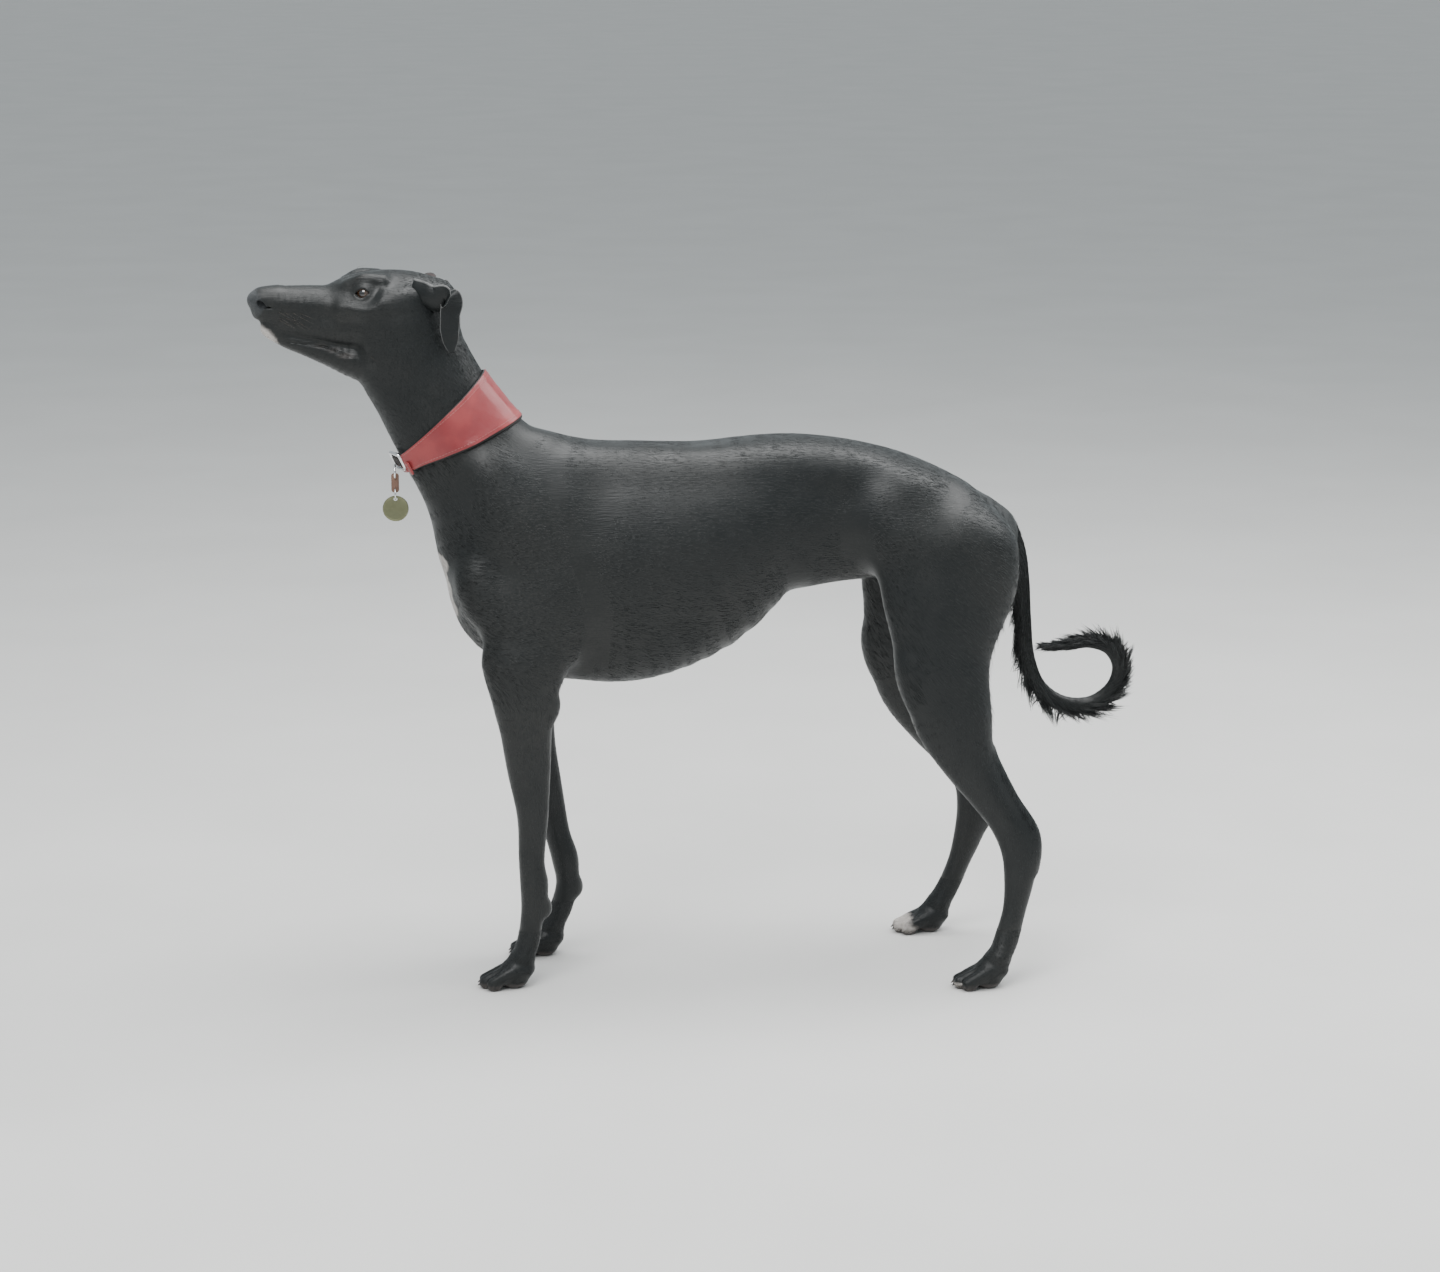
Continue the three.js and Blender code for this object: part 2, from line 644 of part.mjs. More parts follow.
// Torso, without what belongs to the legs, the neck and the tail
const torsoSpine = [[-285, 0, 560], [-200, 0, 548], [-80, 0, 548], [40, 0, 580], [160, 0, 596], [310, 0, 572]];
const spaces = [LEFT, RIGHT].flatMap((s) => [
  legKeep(s, FORE_BOUNDS, [0, 0, ELBOW_CUT], UP, -SPARE, -OVERRUN),
  legKeep(s, HIND_BOUNDS, THIGH_CUT, THIGH_WAY, -SPARE, -OVERRUN),
]);
const outOfLegs = (x, y, z) => -Math.min(...spaces.map((space) => space(x, y, z)));
let torso = wrapped(BODY, torsoSpine, {
  rings: 24, sides: 28, reach: 215, roundStart: 5, roundEnd: 5, keep: outOfLegs,
});
torso = below(torso, SHOULDER_CUT, NECK_WAY).subtract(tailRoom);
for (const s of [LEFT, RIGHT]) torso = torso.subtract(foreSpace(s, HALF_GAP)).subtract(hindSpace(s, HALF_GAP));
addNode("torso", torso, COAT);

// Neck and head
const NECK_SPINE = [[-235, 0, 590], ...NECK.slice(1, 5).map(place), [-396, 0, 850]];
const neckWrap = (level) => wrapped(BODY, NECK_SPINE, { rings: 12, sides: 26, reach: 190, level });
let neck = below(above(neckWrap(0), SHOULDER_CUT, NECK_WAY), HEAD_CUT, NECK_WAY);
addNode("neck", neck, COAT);

const HEAD_SPINE = [inHead(-60, 0, -60), inHead(-20, 0, -40), inHead(40, 0, -36), inHead(112, 0, -26)];
const headWrap = (level) => wrapped(BODY, HEAD_SPINE, {
  across: HEAD_SIDE.toArray(), rings: 22, sides: 28, reach: 120, level, roundStart: 3, roundEnd: 5,
});

// A sphere or egg shape of few faces, in the head's own axes, pitched about its sideways axis
function headBall(forward, out, upward, radii, pitch = 0) {
  const geometry = new THREE.SphereGeometry(1, 12, 8);
  geometry.scale(...radii);
  geometry.rotateY(pitch);
  geometry.applyMatrix4(new THREE.Matrix4().makeBasis(FORWARD, HEAD_SIDE.clone().negate(), UP));
  geometry.translate(...inHead(forward, out, upward));
  return solidOf(geometry);
}

const EYE_PLACE = [6.5, 27, -2]; // in the head's own axes, for the right side
const GAZE = [0.5, 0.85, 0.1];
const LID = 1.6;
const APERTURE = [9, 5.6]; // half the width and height of the opening between the lids
function eyeOpening(s) {
  const [wide, high] = APERTURE;
  const outline = new THREE.Shape();
  outline.moveTo(-wide, -1);
  outline.quadraticCurveTo(0, 2 * high, wide, 0.5);
  outline.quadraticCurveTo(0, -2 * high, -wide, -1);
  const geometry = new THREE.ExtrudeGeometry(outline, { depth: 30, bevelEnabled: false, curveSegments: 7 });
  const gaze = FORWARD.clone().multiplyScalar(GAZE[0]).addScaledVector(HEAD_SIDE, s * GAZE[1]);
  gaze.addScaledVector(UP, GAZE[2]).normalize();
  const level = new THREE.Vector3().crossVectors(UP, gaze).normalize();
  geometry.applyMatrix4(new THREE.Matrix4().makeBasis(level, new THREE.Vector3().crossVectors(gaze, level), gaze));
  const [f, o, u] = EYE_PLACE;
  geometry.translate(...inHead(f, s * o, u));
  return solidOf(geometry);
}

// Line of the mouth, from the front of the lips to their corner: [forward, up]
const LIP_LINE = [[146, -36], [132, -41], [124, -51], [112, -57], [98, -61.5], [75, -65], [57, -67], [42, -73], [27, -80]];
const LIP_GAP = 1.8;
const LIP_DEPTH = 2.8;
function mouthGroove() {
  const upper = LIP_LINE.map(([f, u]) => new THREE.Vector2(f + LIP_GAP / 3, u + LIP_GAP / 2));
  const under = LIP_LINE.map(([f, u]) => new THREE.Vector2(f - LIP_GAP / 3, u - LIP_GAP / 2)).reverse();
  const geometry = new THREE.ExtrudeGeometry(new THREE.Shape([...upper, ...under]), {
    depth: 100, bevelEnabled: false,
  });
  geometry.translate(0, 0, -50);
  geometry.applyMatrix4(new THREE.Matrix4().makeBasis(FORWARD, UP, HEAD_SIDE.clone().negate()));
  geometry.translate(...HEAD_ORIGIN);
  return solidOf(geometry).subtract(headWrap(-LIP_DEPTH));
}

// Ear: a leaf with its across direction turning as it folds back and hangs.
// Rows are [forward, out, up, across forward, across out, across up, half width, depth of cup]
const EAR = [
  [-56, 33, -5, 0.42, -0.1, 0.91, 22, 9],
  [-66, 43, -6, 0.4, 0, 0.92, 20, 8],
  [-77, 51, -8, 0.45, 0.12, 0.88, 18, 6],
  [-88, 55, -5, 0.72, 0.2, 0.62, 17, 4],
  [-95, 55, -12, 0.95, 0.26, 0.15, 15, 3],
  [-93, 56, -28, 0.97, 0.24, 0, 13, 2.4],
  [-92, 56, -46, 0.98, 0.16, -0.05, 12, 1.8],
  [-93, 55, -62, 0.98, 0.1, -0.1, 9, 1],
  [-94, 54, -74, 0.98, 0.1, -0.1, 3, 0],
];
const EAR_THICKNESS = 3.2;
const EAR_COLUMNS = 5;
function earSolid(s) {
  const rows = smoothRows(EAR, 2);
  const centre = rows.map(([f, o, u]) => new THREE.Vector3(...inHead(f, s * o, u)));
  const points = [];
  rows.forEach((row, i) => {
    const along = centre[Math.min(i + 1, rows.length - 1)].clone().sub(centre[Math.max(i - 1, 0)]).normalize();
    const across = FORWARD.clone().multiplyScalar(row[3]).addScaledVector(HEAD_SIDE, s * row[4]);
    across.addScaledVector(UP, row[5]).addScaledVector(along, -across.dot(along)).normalize();
    const inward = new THREE.Vector3().crossVectors(across, along).multiplyScalar(s).normalize();
    for (const layer of [0, 1])
      for (let j = 0; j <= EAR_COLUMNS; j++) {
        const b = (2 * j) / EAR_COLUMNS - 1;
        const thick = EAR_THICKNESS * (0.35 + 0.65 * Math.sqrt(1 - b * b));
        const sink = row[7] * (1 - b * b) + (layer ? thick : 0);
        const at = centre[i].clone().addScaledVector(across, b * row[6]).addScaledVector(inward, sink);
        points.push(...at.toArray());
      }
  });
  const width = EAR_COLUMNS + 1;
  const at = (i, layer, j) => i * 2 * width + layer * width + j;
  const index = [];
  const quad = (a, b, c, d) => (s === LEFT ? index.push(a, b, c, a, c, d) : index.push(a, c, b, a, d, c));
  for (let i = 0; i < rows.length - 1; i++) {
    for (let j = 0; j < EAR_COLUMNS; j++) {
      quad(at(i, 0, j), at(i, 0, j + 1), at(i + 1, 0, j + 1), at(i + 1, 0, j));
      quad(at(i, 1, j), at(i + 1, 1, j), at(i + 1, 1, j + 1), at(i, 1, j + 1));
    }
    quad(at(i, 0, 0), at(i + 1, 0, 0), at(i + 1, 1, 0), at(i, 1, 0));
    quad(at(i, 0, EAR_COLUMNS), at(i, 1, EAR_COLUMNS), at(i + 1, 1, EAR_COLUMNS), at(i + 1, 0, EAR_COLUMNS));
  }
  const end = rows.length - 1;
  for (let j = 0; j < EAR_COLUMNS; j++) {
    quad(at(0, 0, j), at(0, 1, j), at(0, 1, j + 1), at(0, 0, j + 1));
    quad(at(end, 0, j), at(end, 0, j + 1), at(end, 1, j + 1), at(end, 1, j));
  }
  const geometry = new THREE.BufferGeometry();
  geometry.setAttribute("position", new THREE.Float32BufferAttribute(points, 3));
  geometry.setIndex(index);
  return solidOf(geometry);
}

const fleshRoom = headWrap(GAP);
const neckRoom = neckWrap(GAP);
let head = headWrap(0);
for (const s of [LEFT, RIGHT]) {
  const [f, o, u] = EYE_PLACE;
  const lidRadius = EYE_RADIUS + LID;
  head = head.add(headBall(f, s * o, u, [lidRadius, lidRadius, lidRadius]));
}
head = head.subtract(mouthGroove());
for (const [name, s] of Object.entries(SIDES)) {
  const [f, o, u] = EYE_PLACE;
  const room = EYE_RADIUS + GAP;
  head = head.subtract(eyeOpening(s)).subtract(headBall(f, s * o, u, [room, room, room]));
  head = head.subtract(headBall(133, s * 10.5, -15, [8.5, 3.2, 4], -0.7)); // nostril
  addNode(`${name}_eye`, headBall(f, s * o, u, [EYE_RADIUS, EYE_RADIUS, EYE_RADIUS]), EYE);
  addNode(`${name}_ear`, earSolid(s).subtract(fleshRoom).subtract(neckRoom), COAT);
}
addNode("head", above(head, HEAD_CUT, NECK_WAY), COAT);

// Legs
const STIFLE_CUT = 352; // heights
const HOCK_CUT = 158;
for (const [name, s] of Object.entries(SIDES)) {
  const fore = mirrored(FORELEG[name], s).map(place);
  const hind = mirrored(HINDLEG[name], s).map(place);
  const foreleg = wrapped(BODY, fore, {
    rings: 17, sides: 16, reach: 75, keep: legKeep(s, FORE_BOUNDS, [0, 0, ELBOW_CUT], UP),
  });
  addNode(`${name}_foreleg`, above(foreleg.intersect(foreSpace(s, -HALF_GAP)), [0, 0, PAW_CUT], UP), COAT);
  const hindleg = wrapped(BODY, hind, {
    rings: 26, sides: 18, reach: 150, keep: legKeep(s, HIND_BOUNDS, THIGH_CUT, THIGH_WAY),
  }).intersect(hindSpace(s, -HALF_GAP)).subtract(tailRoom);
  addNode(`${name}_thigh`, above(hindleg, [0, 0, STIFLE_CUT], UP), COAT);
  addNode(`${name}_shank`, above(below(hindleg, [0, 0, STIFLE_CUT], UP), [0, 0, HOCK_CUT], UP), COAT);
  addNode(`${name}_rear_pastern`, above(below(hindleg, [0, 0, HOCK_CUT], UP), [0, 0, PAW_CUT], UP), COAT);
}

// Paws with their claws, flat under the pads
for (const [name, paw] of Object.entries(PAWS)) {
  const { heel, length } = paw;
  const spine = [[heel[0] + 2, heel[1], 20], [heel[0] - length * 0.66, heel[1], 13]];
  let foot = wrapped(BODY, spine, { rings: 4, sides: 18, reach: 60, roundStart: 3, roundEnd: 4 });
  for (const { claw } of toesOf(paw)) {
    const cone = new THREE.ConeGeometry(CLAW.radius, CLAW.length, 5);
    cone.rotateZ(Math.PI / 2 + CLAW.droop);
    cone.translate(...claw);
    foot = foot.add(solidOf(cone));
  }
  addNode(name, above(below(foot, [0, 0, PAW_CUT], UP), [0, 0, -HALF_GAP], UP), COAT);
}

// Collar: a broad strap, widest over the nape. Its edges are [x, z] seen from the side.
const COLLAR_TOP = [[-286, 782], [-318, 750], [-343, 727], [-376, 696], [-402, 671]];
const COLLAR_FOOT = [[-404, 645], [-389, 654], [-368, 668], [-340, 680], [-303, 696], [-278, 708], [-236, 727]];
const STRAP = 4;
const STRAP_CLEAR = 0.5;
const bandOutline = new THREE.Shape();
bandOutline.moveTo(...COLLAR_TOP[0]);
bandOutline.splineThru(COLLAR_TOP.slice(1).map(([x, z]) => new THREE.Vector2(x, z)));
bandOutline.lineTo(...COLLAR_FOOT[0]);
bandOutline.splineThru(COLLAR_FOOT.slice(1).map(([x, z]) => new THREE.Vector2(x, z)));
const bandGeometry = new THREE.ExtrudeGeometry(bandOutline, { depth: 300, bevelEnabled: false, curveSegments: 3 });
bandGeometry.translate(0, 0, -150);
bandGeometry.rotateX(Math.PI / 2);
const shell = neckWrap(STRAP + STRAP_CLEAR).subtract(neckWrap(STRAP_CLEAR));
const band = shell.intersect(solidOf(bandGeometry));
addNode("collar_strap", band, RED_LEATHER);

// Fittings at the throat. Their own frame: across to the right, down the strap's front, and outward.
const THROAT = new THREE.Vector3(-394, -10, 664);
const OUTWARD = new THREE.Vector3(-0.87, -0.12, -0.46).normalize();
const DOWN = new THREE.Vector3(0, 0, -1).addScaledVector(OUTWARD, OUTWARD.z).normalize();
const ACROSS = new THREE.Vector3().crossVectors(DOWN, OUTWARD);
const strapRoom = neckWrap(STRAP + STRAP_CLEAR + GAP);

function fitting(geometry, across, down, outward) {
  geometry.translate(across, down, outward);
  geometry.applyMatrix4(new THREE.Matrix4().makeBasis(ACROSS, DOWN, OUTWARD));
  geometry.translate(THROAT.x, THROAT.y, THROAT.z);
  return solidOf(geometry);
}

function roundedFrame(width, height, corner, hole) {
  const outline = (w, h, r, path) => {
    path.moveTo(-w / 2 + r, -h / 2);
    path.lineTo(w / 2 - r, -h / 2).quadraticCurveTo(w / 2, -h / 2, w / 2, -h / 2 + r);
    path.lineTo(w / 2, h / 2 - r).quadraticCurveTo(w / 2, h / 2, w / 2 - r, h / 2);
    path.lineTo(-w / 2 + r, h / 2).quadraticCurveTo(-w / 2, h / 2, -w / 2, h / 2 - r);
    path.lineTo(-w / 2, -h / 2 + r).quadraticCurveTo(-w / 2, -h / 2, -w / 2 + r, -h / 2);
    return path;
  };
  const shape = outline(width, height, corner, new THREE.Shape());
  if (hole) shape.holes.push(outline(width - 2 * hole, height - 2 * hole, corner * 0.6, new THREE.Path()));
  return shape;
}

const BUCKLE = { width: 27, height: 25, wire: 3, thickness: 3 };
const bevel = { bevelEnabled: true, bevelSize: 0.6, bevelThickness: 0.6, bevelSegments: 1, curveSegments: 3 };
const buckleShape = roundedFrame(BUCKLE.width, BUCKLE.height, 6, BUCKLE.wire);
const buckleGeometry = new THREE.ExtrudeGeometry(buckleShape, { ...bevel, depth: BUCKLE.thickness });
const buckle = fitting(buckleGeometry, 0, -7, 2.6).subtract(strapRoom);

const keeperGeometry = new THREE.ExtrudeGeometry(roundedFrame(9, 23, 2), { ...bevel, depth: 2 });
addNode("collar_keeper", fitting(keeperGeometry, -23, 1, 1.4).subtract(strapRoom), RED_LEATHER);

// The ring, the leather tab and the tag hang straight down, each through a hole in the next.
const HANGING = { x: -403.5, y: -13 };
const D_RING = { radius: 8, wire: 1.3, height: 655 };
const SPLIT_RING = { radius: 7, wire: 0.9, height: 627.5 };
function hangingRing({ radius, wire, height }, grow = 0) {
  const geometry = new THREE.TorusGeometry(radius, wire + grow, 6, 16);
  geometry.rotateY(Math.PI / 2);
  geometry.translate(HANGING.x, HANGING.y, height);
  return solidOf(geometry);
}

addNode("collar_buckle", buckle.subtract(hangingRing(D_RING, GAP)), STEEL);
addNode("collar_ring", hangingRing(D_RING).subtract(strapRoom), STEEL);
addNode("tag_ring", hangingRing(SPLIT_RING), STEEL);

const TAB = { width: 9.5, length: 24, thickness: 3, height: 641 };
const tabGeometry = new THREE.ExtrudeGeometry(roundedFrame(TAB.width, TAB.length, 3.5), {
  ...bevel, depth: TAB.thickness - 1.2,
});
tabGeometry.rotateX(Math.PI / 2);
tabGeometry.translate(HANGING.x, HANGING.y + TAB.thickness / 2, TAB.height);
const tab = solidOf(tabGeometry).subtract(hangingRing(D_RING, GAP)).subtract(hangingRing(SPLIT_RING, GAP));
addNode("collar_tab", tab, TAN_LEATHER);

// Name tag, a bare disc on a split ring, seen full from the side
const TAG = { radius: 16, thickness: 2.2, hole: 2.4, rim: 4.2, height: 608.7 };
const tagShape = new THREE.Shape().absarc(0, 0, TAG.radius, 0, 2 * Math.PI, false);
tagShape.holes.push(new THREE.Path().absarc(0, TAG.radius - TAG.rim, TAG.hole, 0, 2 * Math.PI, true));
const tagGeometry = new THREE.ExtrudeGeometry(tagShape, {
  depth: TAG.thickness - 0.8, bevelEnabled: true, bevelSize: 0.4, bevelThickness: 0.4, bevelSegments: 1, curveSegments: 11,
});
tagGeometry.rotateX(Math.PI / 2);
tagGeometry.translate(HANGING.x, HANGING.y + TAG.thickness / 2 - 0.4, TAG.height);
addNode("name_tag", solidOf(tagGeometry), BRASS);

// The origin is at the middle of the whole dog's box, on the floor.
const bounds = new THREE.Box3().setFromObject(dog);
dog.position.set(-(bounds.min.x + bounds.max.x) / 2, -(bounds.min.y + bounds.max.y) / 2, -bounds.min.z);

export default dog;
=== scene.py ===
"""A standing black greyhound with a broad red collar, life size.

The skin is the zero surface of a smooth field of soft forms, the same forms and named sizes as the
CAD part. Lengths in the field are millimetres in the dog's own frame; meshes are metres in the frame
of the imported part. The dog faces -X, its left side is -Y, and the floor is at z = 0.
"""

import logging
import math
from concurrent.futures import ThreadPoolExecutor
from dataclasses import dataclass
from enum import Enum
from functools import reduce
from typing import Callable, Iterable, Sequence

import bmesh
import bpy
import numpy as np
from bpy.types import Material, Mesh, Node, NodeSocket, NodeTree, Object
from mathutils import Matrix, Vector


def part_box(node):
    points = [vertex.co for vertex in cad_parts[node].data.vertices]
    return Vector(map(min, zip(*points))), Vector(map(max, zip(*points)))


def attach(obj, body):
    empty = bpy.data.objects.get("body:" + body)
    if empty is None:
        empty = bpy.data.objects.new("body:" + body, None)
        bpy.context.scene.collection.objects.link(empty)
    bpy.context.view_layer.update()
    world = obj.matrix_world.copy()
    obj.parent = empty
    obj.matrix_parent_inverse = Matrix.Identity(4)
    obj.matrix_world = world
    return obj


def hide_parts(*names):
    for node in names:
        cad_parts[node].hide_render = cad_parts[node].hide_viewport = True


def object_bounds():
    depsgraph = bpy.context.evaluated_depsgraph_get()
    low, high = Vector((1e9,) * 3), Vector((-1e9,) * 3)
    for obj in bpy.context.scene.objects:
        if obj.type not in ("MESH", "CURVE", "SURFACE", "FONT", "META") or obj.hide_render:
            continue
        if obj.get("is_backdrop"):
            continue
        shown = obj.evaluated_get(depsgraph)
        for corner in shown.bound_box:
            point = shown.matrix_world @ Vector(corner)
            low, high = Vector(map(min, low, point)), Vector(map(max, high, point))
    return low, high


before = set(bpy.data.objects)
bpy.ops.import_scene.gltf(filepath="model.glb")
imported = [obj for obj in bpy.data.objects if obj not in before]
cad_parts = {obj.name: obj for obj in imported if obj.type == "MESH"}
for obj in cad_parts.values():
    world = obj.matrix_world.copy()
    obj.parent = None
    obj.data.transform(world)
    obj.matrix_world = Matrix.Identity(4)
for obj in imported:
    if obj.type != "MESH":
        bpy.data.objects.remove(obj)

logging.basicConfig(level=logging.INFO, format="%(message)s")
log = logging.getLogger("greyhound")

Array = np.ndarray
MM = 0.001
FAR = 400.0
SIDES = {"left": -1, "right": 1}
SEED = 11
CHUNK = 6000
POOL = ThreadPoolExecutor(8)

low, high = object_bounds()
SIZES = {"loaded": [list(low), list(high)]}

# Sizes of the dog, in millimetres

HEAD_ORIGIN = np.array([-431.0, 0.0, 880.0])
HEAD_TURN = math.radians(7)
FORWARD = np.array([-math.cos(HEAD_TURN), -math.sin(HEAD_TURN), 0.0])
HEAD_SIDE = np.array([-math.sin(HEAD_TURN), math.cos(HEAD_TURN), 0.0])
UP = np.array([0.0, 0.0, 1.0])
EYE_PLACE = (6.5, 27.0, -2.0)
EYE_RADIUS = 10.6
LID = 1.6
GAZE = (0.5, 0.85, 0.1)
APERTURE = (9.0, 5.6)
FORE_Y = 62.0
HIND_Y = 115.0
COAT_DEPTH = 0.8

TRUNK = [
    (-306, 0, 552, 44, 62), (-278, 0, 552, 62, 112), (-230, 0, 540, 74, 144), (-170, 0, 534, 82, 151),
    (-110, 0, 534, 88, 152), (-40, 0, 549, 90, 136), (35, 0, 585, 79, 104), (100, 0, 594, 66, 98),
    (160, 0, 594, 60, 90), (220, 0, 586, 62, 80), (280, 0, 568, 58, 68), (334, 0, 554, 40, 46),
]
NECK = [
    (-240, 0, 596, 60, 98), (-297, 0, 654, 56, 82), (-336, 0, 711, 52, 72.5), (-362, 0, 758, 49, 69),
    (-386, 0, 806, 46, 68), (-396, 0, 850, 40, 50),
]
BACK_MUSCLE = [
    (-190, 22, 654, 22, 24), (-40, 27, 652, 26, 26), (90, 29, 658, 26, 26), (200, 30, 640, 26, 26),
    (290, 26, 603, 22, 24),
]
# Muscles as (place, radii, blend, turn about Y in degrees), for the right side
MUSCLES = [
    ((-252, 52, 590), (38, 23, 100), 26, -27), ((-300, 54, 508), (30, 24, 46), 24, -20),
    ((-240, 64, 458), (56, 25, 84), 26, 14), ((-300, 22, 512), (26, 22, 62), 24, -15),
    ((220, 50, 588), (50, 30, 56), 30, 25), ((312, 45, 546), (48, 38, 66), 32, -25),
]
# Head rows are (forward, out, up, half width, half height) in the head's own axes
SKULL = [
    (-78, 0, -22, 34, 34), (-45, 0, -21, 44, 40), (-8, 0, -19, 42, 41), (20, 0, -18, 33, 35),
    (46, 0, -19, 28, 26), (80, 0, -16, 24, 23), (110, 0, -12, 20, 19), (128, 0, -9, 15, 14),
]
UPPER_LIPS = [(130, 0, -20, 12.5, 16), (100, 0, -33, 18.5, 20), (62, 0, -42, 25, 22), (28, 0, -46, 31, 26)]
LOWER_JAW = [
    (124, 0, -46, 11, 8.5), (105, 0, -57, 13, 11.5), (76, 0, -67, 16, 14.5), (46, 0, -78, 21, 18),
    (12, 0, -88, 27, 25), (-25, 0, -92, 30, 32),
]
CHEEKBONE = [(34, 29, -20, 8, 9), (8, 37, -17, 8, 9), (-22, 43, -12, 8, 10), (-52, 40, -8, 8, 10)]
BROW = [(26, 19, 7.5, 6, 6), (9, 27, 16, 6.4, 6.4), (-14, 30, 13.5, 7.5, 7.5)]
NOSE = [(112, 0, -7, 15, 13.5), (128, 0, -8, 15.5, 13), (137, 0, -10, 12, 11)]
FURROW = [(60, 0, 20, 7, 4), (10, 0, 36, 9, 6), (-30, 0, 36, 8, 4)]
LIP_LINE = [
    (146, -36), (132, -41), (124, -51), (112, -57), (98, -61.5), (75, -65), (57, -67), (42, -73), (27, -80),
]

FORELEG = {
    "left": [
        (-250, 66, 420, 25, 48), (-250, 68, 372, 24, 40), (-248, 68, 335, 21, 33), (-245, 67, 285, 17.5, 28),
        (-241, 65, 225, 15, 20.5), (-243, 63, 165, 13.5, 17), (-240, 62, 132, 17, 18.5),
        (-243, 62, 97, 14.5, 15), (-247, FORE_Y, 66, 15.5, 15), (-254, FORE_Y, 42, 17, 14.5),
    ],
    "right": [
        (-246, 66, 420, 25, 44), (-243, 68, 372, 24, 38), (-238, 68, 335, 21, 31), (-232, 67, 285, 17.5, 26),
        (-218, 65, 225, 15, 20), (-206, 63, 165, 13.5, 17), (-196, 62, 128, 17, 18), (-194, 62, 97, 14.5, 15),
        (-201, FORE_Y, 66, 15.5, 15), (-212, FORE_Y, 42, 17, 14.5),
    ],
}
HINDLEG = {
    "left": [
        (282, 58, 560, 34, 78), (277, 66, 500, 37, 84), (273, 74, 440, 35, 66), (274, 82, 390, 31, 54),
        (282, 88, 340, 27, 46), (302, 92, 292, 22, 34), (328, 95, 248, 17, 25), (352, 97, 212, 14.5, 22),
        (371, 99, 175, 15, 25), (370, 102, 136, 13.5, 20), (364, 106, 98, 12.5, 15.5),
        (354, 111, 62, 14.5, 16), (345, HIND_Y, 40, 18, 15),
    ],
    "right": [
        (278, 58, 560, 34, 78), (268, 66, 500, 37, 84), (256, 76, 440, 35, 66), (252, 84, 390, 31, 54),
        (262, 91, 340, 27, 46), (286, 96, 292, 22, 34), (316, 100, 248, 17, 25), (338, 103, 212, 14.5, 22),
        (347, 105, 175, 15, 25), (339, 108, 134, 13.5, 20), (328, 111, 98, 12.5, 15.5),
        (316, 113, 66, 14.5, 15), (304, HIND_Y, 42, 18, 15),
    ],
}
WRIST_PAD_DROP = {"left": 30, "right": 38}
HOCK_CORD = {
    "left": [
        (332, 88, 300, 7, 8), (362, 94, 245, 5, 5.5), (386, 98, 205, 6.5, 7), (390, 99, 180, 8, 9),
        (386, 101, 150, 8, 9),
    ],
    "right": [
        (320, 92, 300, 7, 8), (350, 99, 245, 5, 5.5), (367, 104, 205, 6.5, 7), (366, 105, 180, 8, 9),
        (356, 107, 150, 8, 9),
    ],
}
TAIL = [
    (332, 0, 592, 15, 15), (358, 0, 576, 12.5, 13), (374, 1, 545, 11.5, 12), (382, 2, 503, 11, 11.5),
    (386, 2, 453, 10.5, 11), (392, 3, 402, 10, 10.5), (408, 3, 362, 9.5, 10), (438, 1, 339, 9, 10),
    (474, -3, 337, 9, 10.5), (502, -7, 357, 8.5, 10.5), (511, -10, 386, 8.5, 10.5), (499, -13, 411, 8, 10),
    (474, -15, 422, 7.5, 9), (446, -17, 420, 6.5, 7.5), (421, -18, 417, 4.5, 5), (405, -19, 418, 1.5, 1.5),
]
# The root that melts into the croup ends inside the tail itself
TAIL_ROOT = [(332, 0, 592, 15, 15), (358, 0, 576, 12.5, 13), (371, 0.8, 553, 8, 8.5)]
# Ear rows are (forward, out, up, across forward, across out, across up, half width, depth of cup)
EAR = [
    (-56, 33, -5, 0.42, -0.1, 0.91, 22, 9), (-66, 43, -6, 0.4, 0, 0.92, 20, 8),
    (-77, 51, -8, 0.45, 0.12, 0.88, 18, 6), (-88, 55, -5, 0.72, 0.2, 0.62, 17, 4),
    (-95, 55, -12, 0.95, 0.26, 0.15, 15, 3), (-93, 56, -28, 0.97, 0.24, 0, 13, 2.4),
    (-92, 56, -46, 0.98, 0.16, -0.05, 12, 1.8), (-93, 55, -62, 0.98, 0.1, -0.1, 9, 1),
    (-94, 54, -74, 0.98, 0.1, -0.1, 3, 0),
]
COLLAR_TOP = [(-286, 782), (-318, 750), (-343, 727), (-376, 696), (-402, 671)]
COLLAR_FOOT = [(-401, 648), (-388, 655), (-368, 668), (-340, 680), (-303, 696), (-278, 708), (-236, 727)]
THROAT = np.array([-394.0, -10.0, 664.0])
HANGING = (-403.5, -13.0)


@dataclass(frozen=True)
class Paw:
    """Sizes of one foot: heel place, length, half step between toes and height, in millimetres."""

    name: str
    heel: tuple[float, float]
    length: float
    wide: float
    high: float

    def toes(self) -> list[tuple[list[tuple[float, ...]], tuple[float, float, float]]]:
        """The four toes.

        Returns:
            For each toe its tube rows and the middle of its claw.
        """
        made = []
        x, y = self.heel
        for place in (-1.5, -0.5, 0.5, 1.5):
            reach = self.length - (9 if abs(place) > 1 else 0)
            out = y + place * self.wide
            rows = [
                (x + 2, y + place * self.wide * 0.45, self.high + 6, 7.5, 8),
                (x - reach * 0.42, y + place * self.wide * 0.85, self.high + 3, 7, 8),
                (x - reach * 0.76, out, self.high - 4, 6.6, 8.2),
                (x - reach, out, 8.5, 6.2, 7.4),
            ]
            made.append((rows, (x - reach - 2, out, 10.0)))
        return made


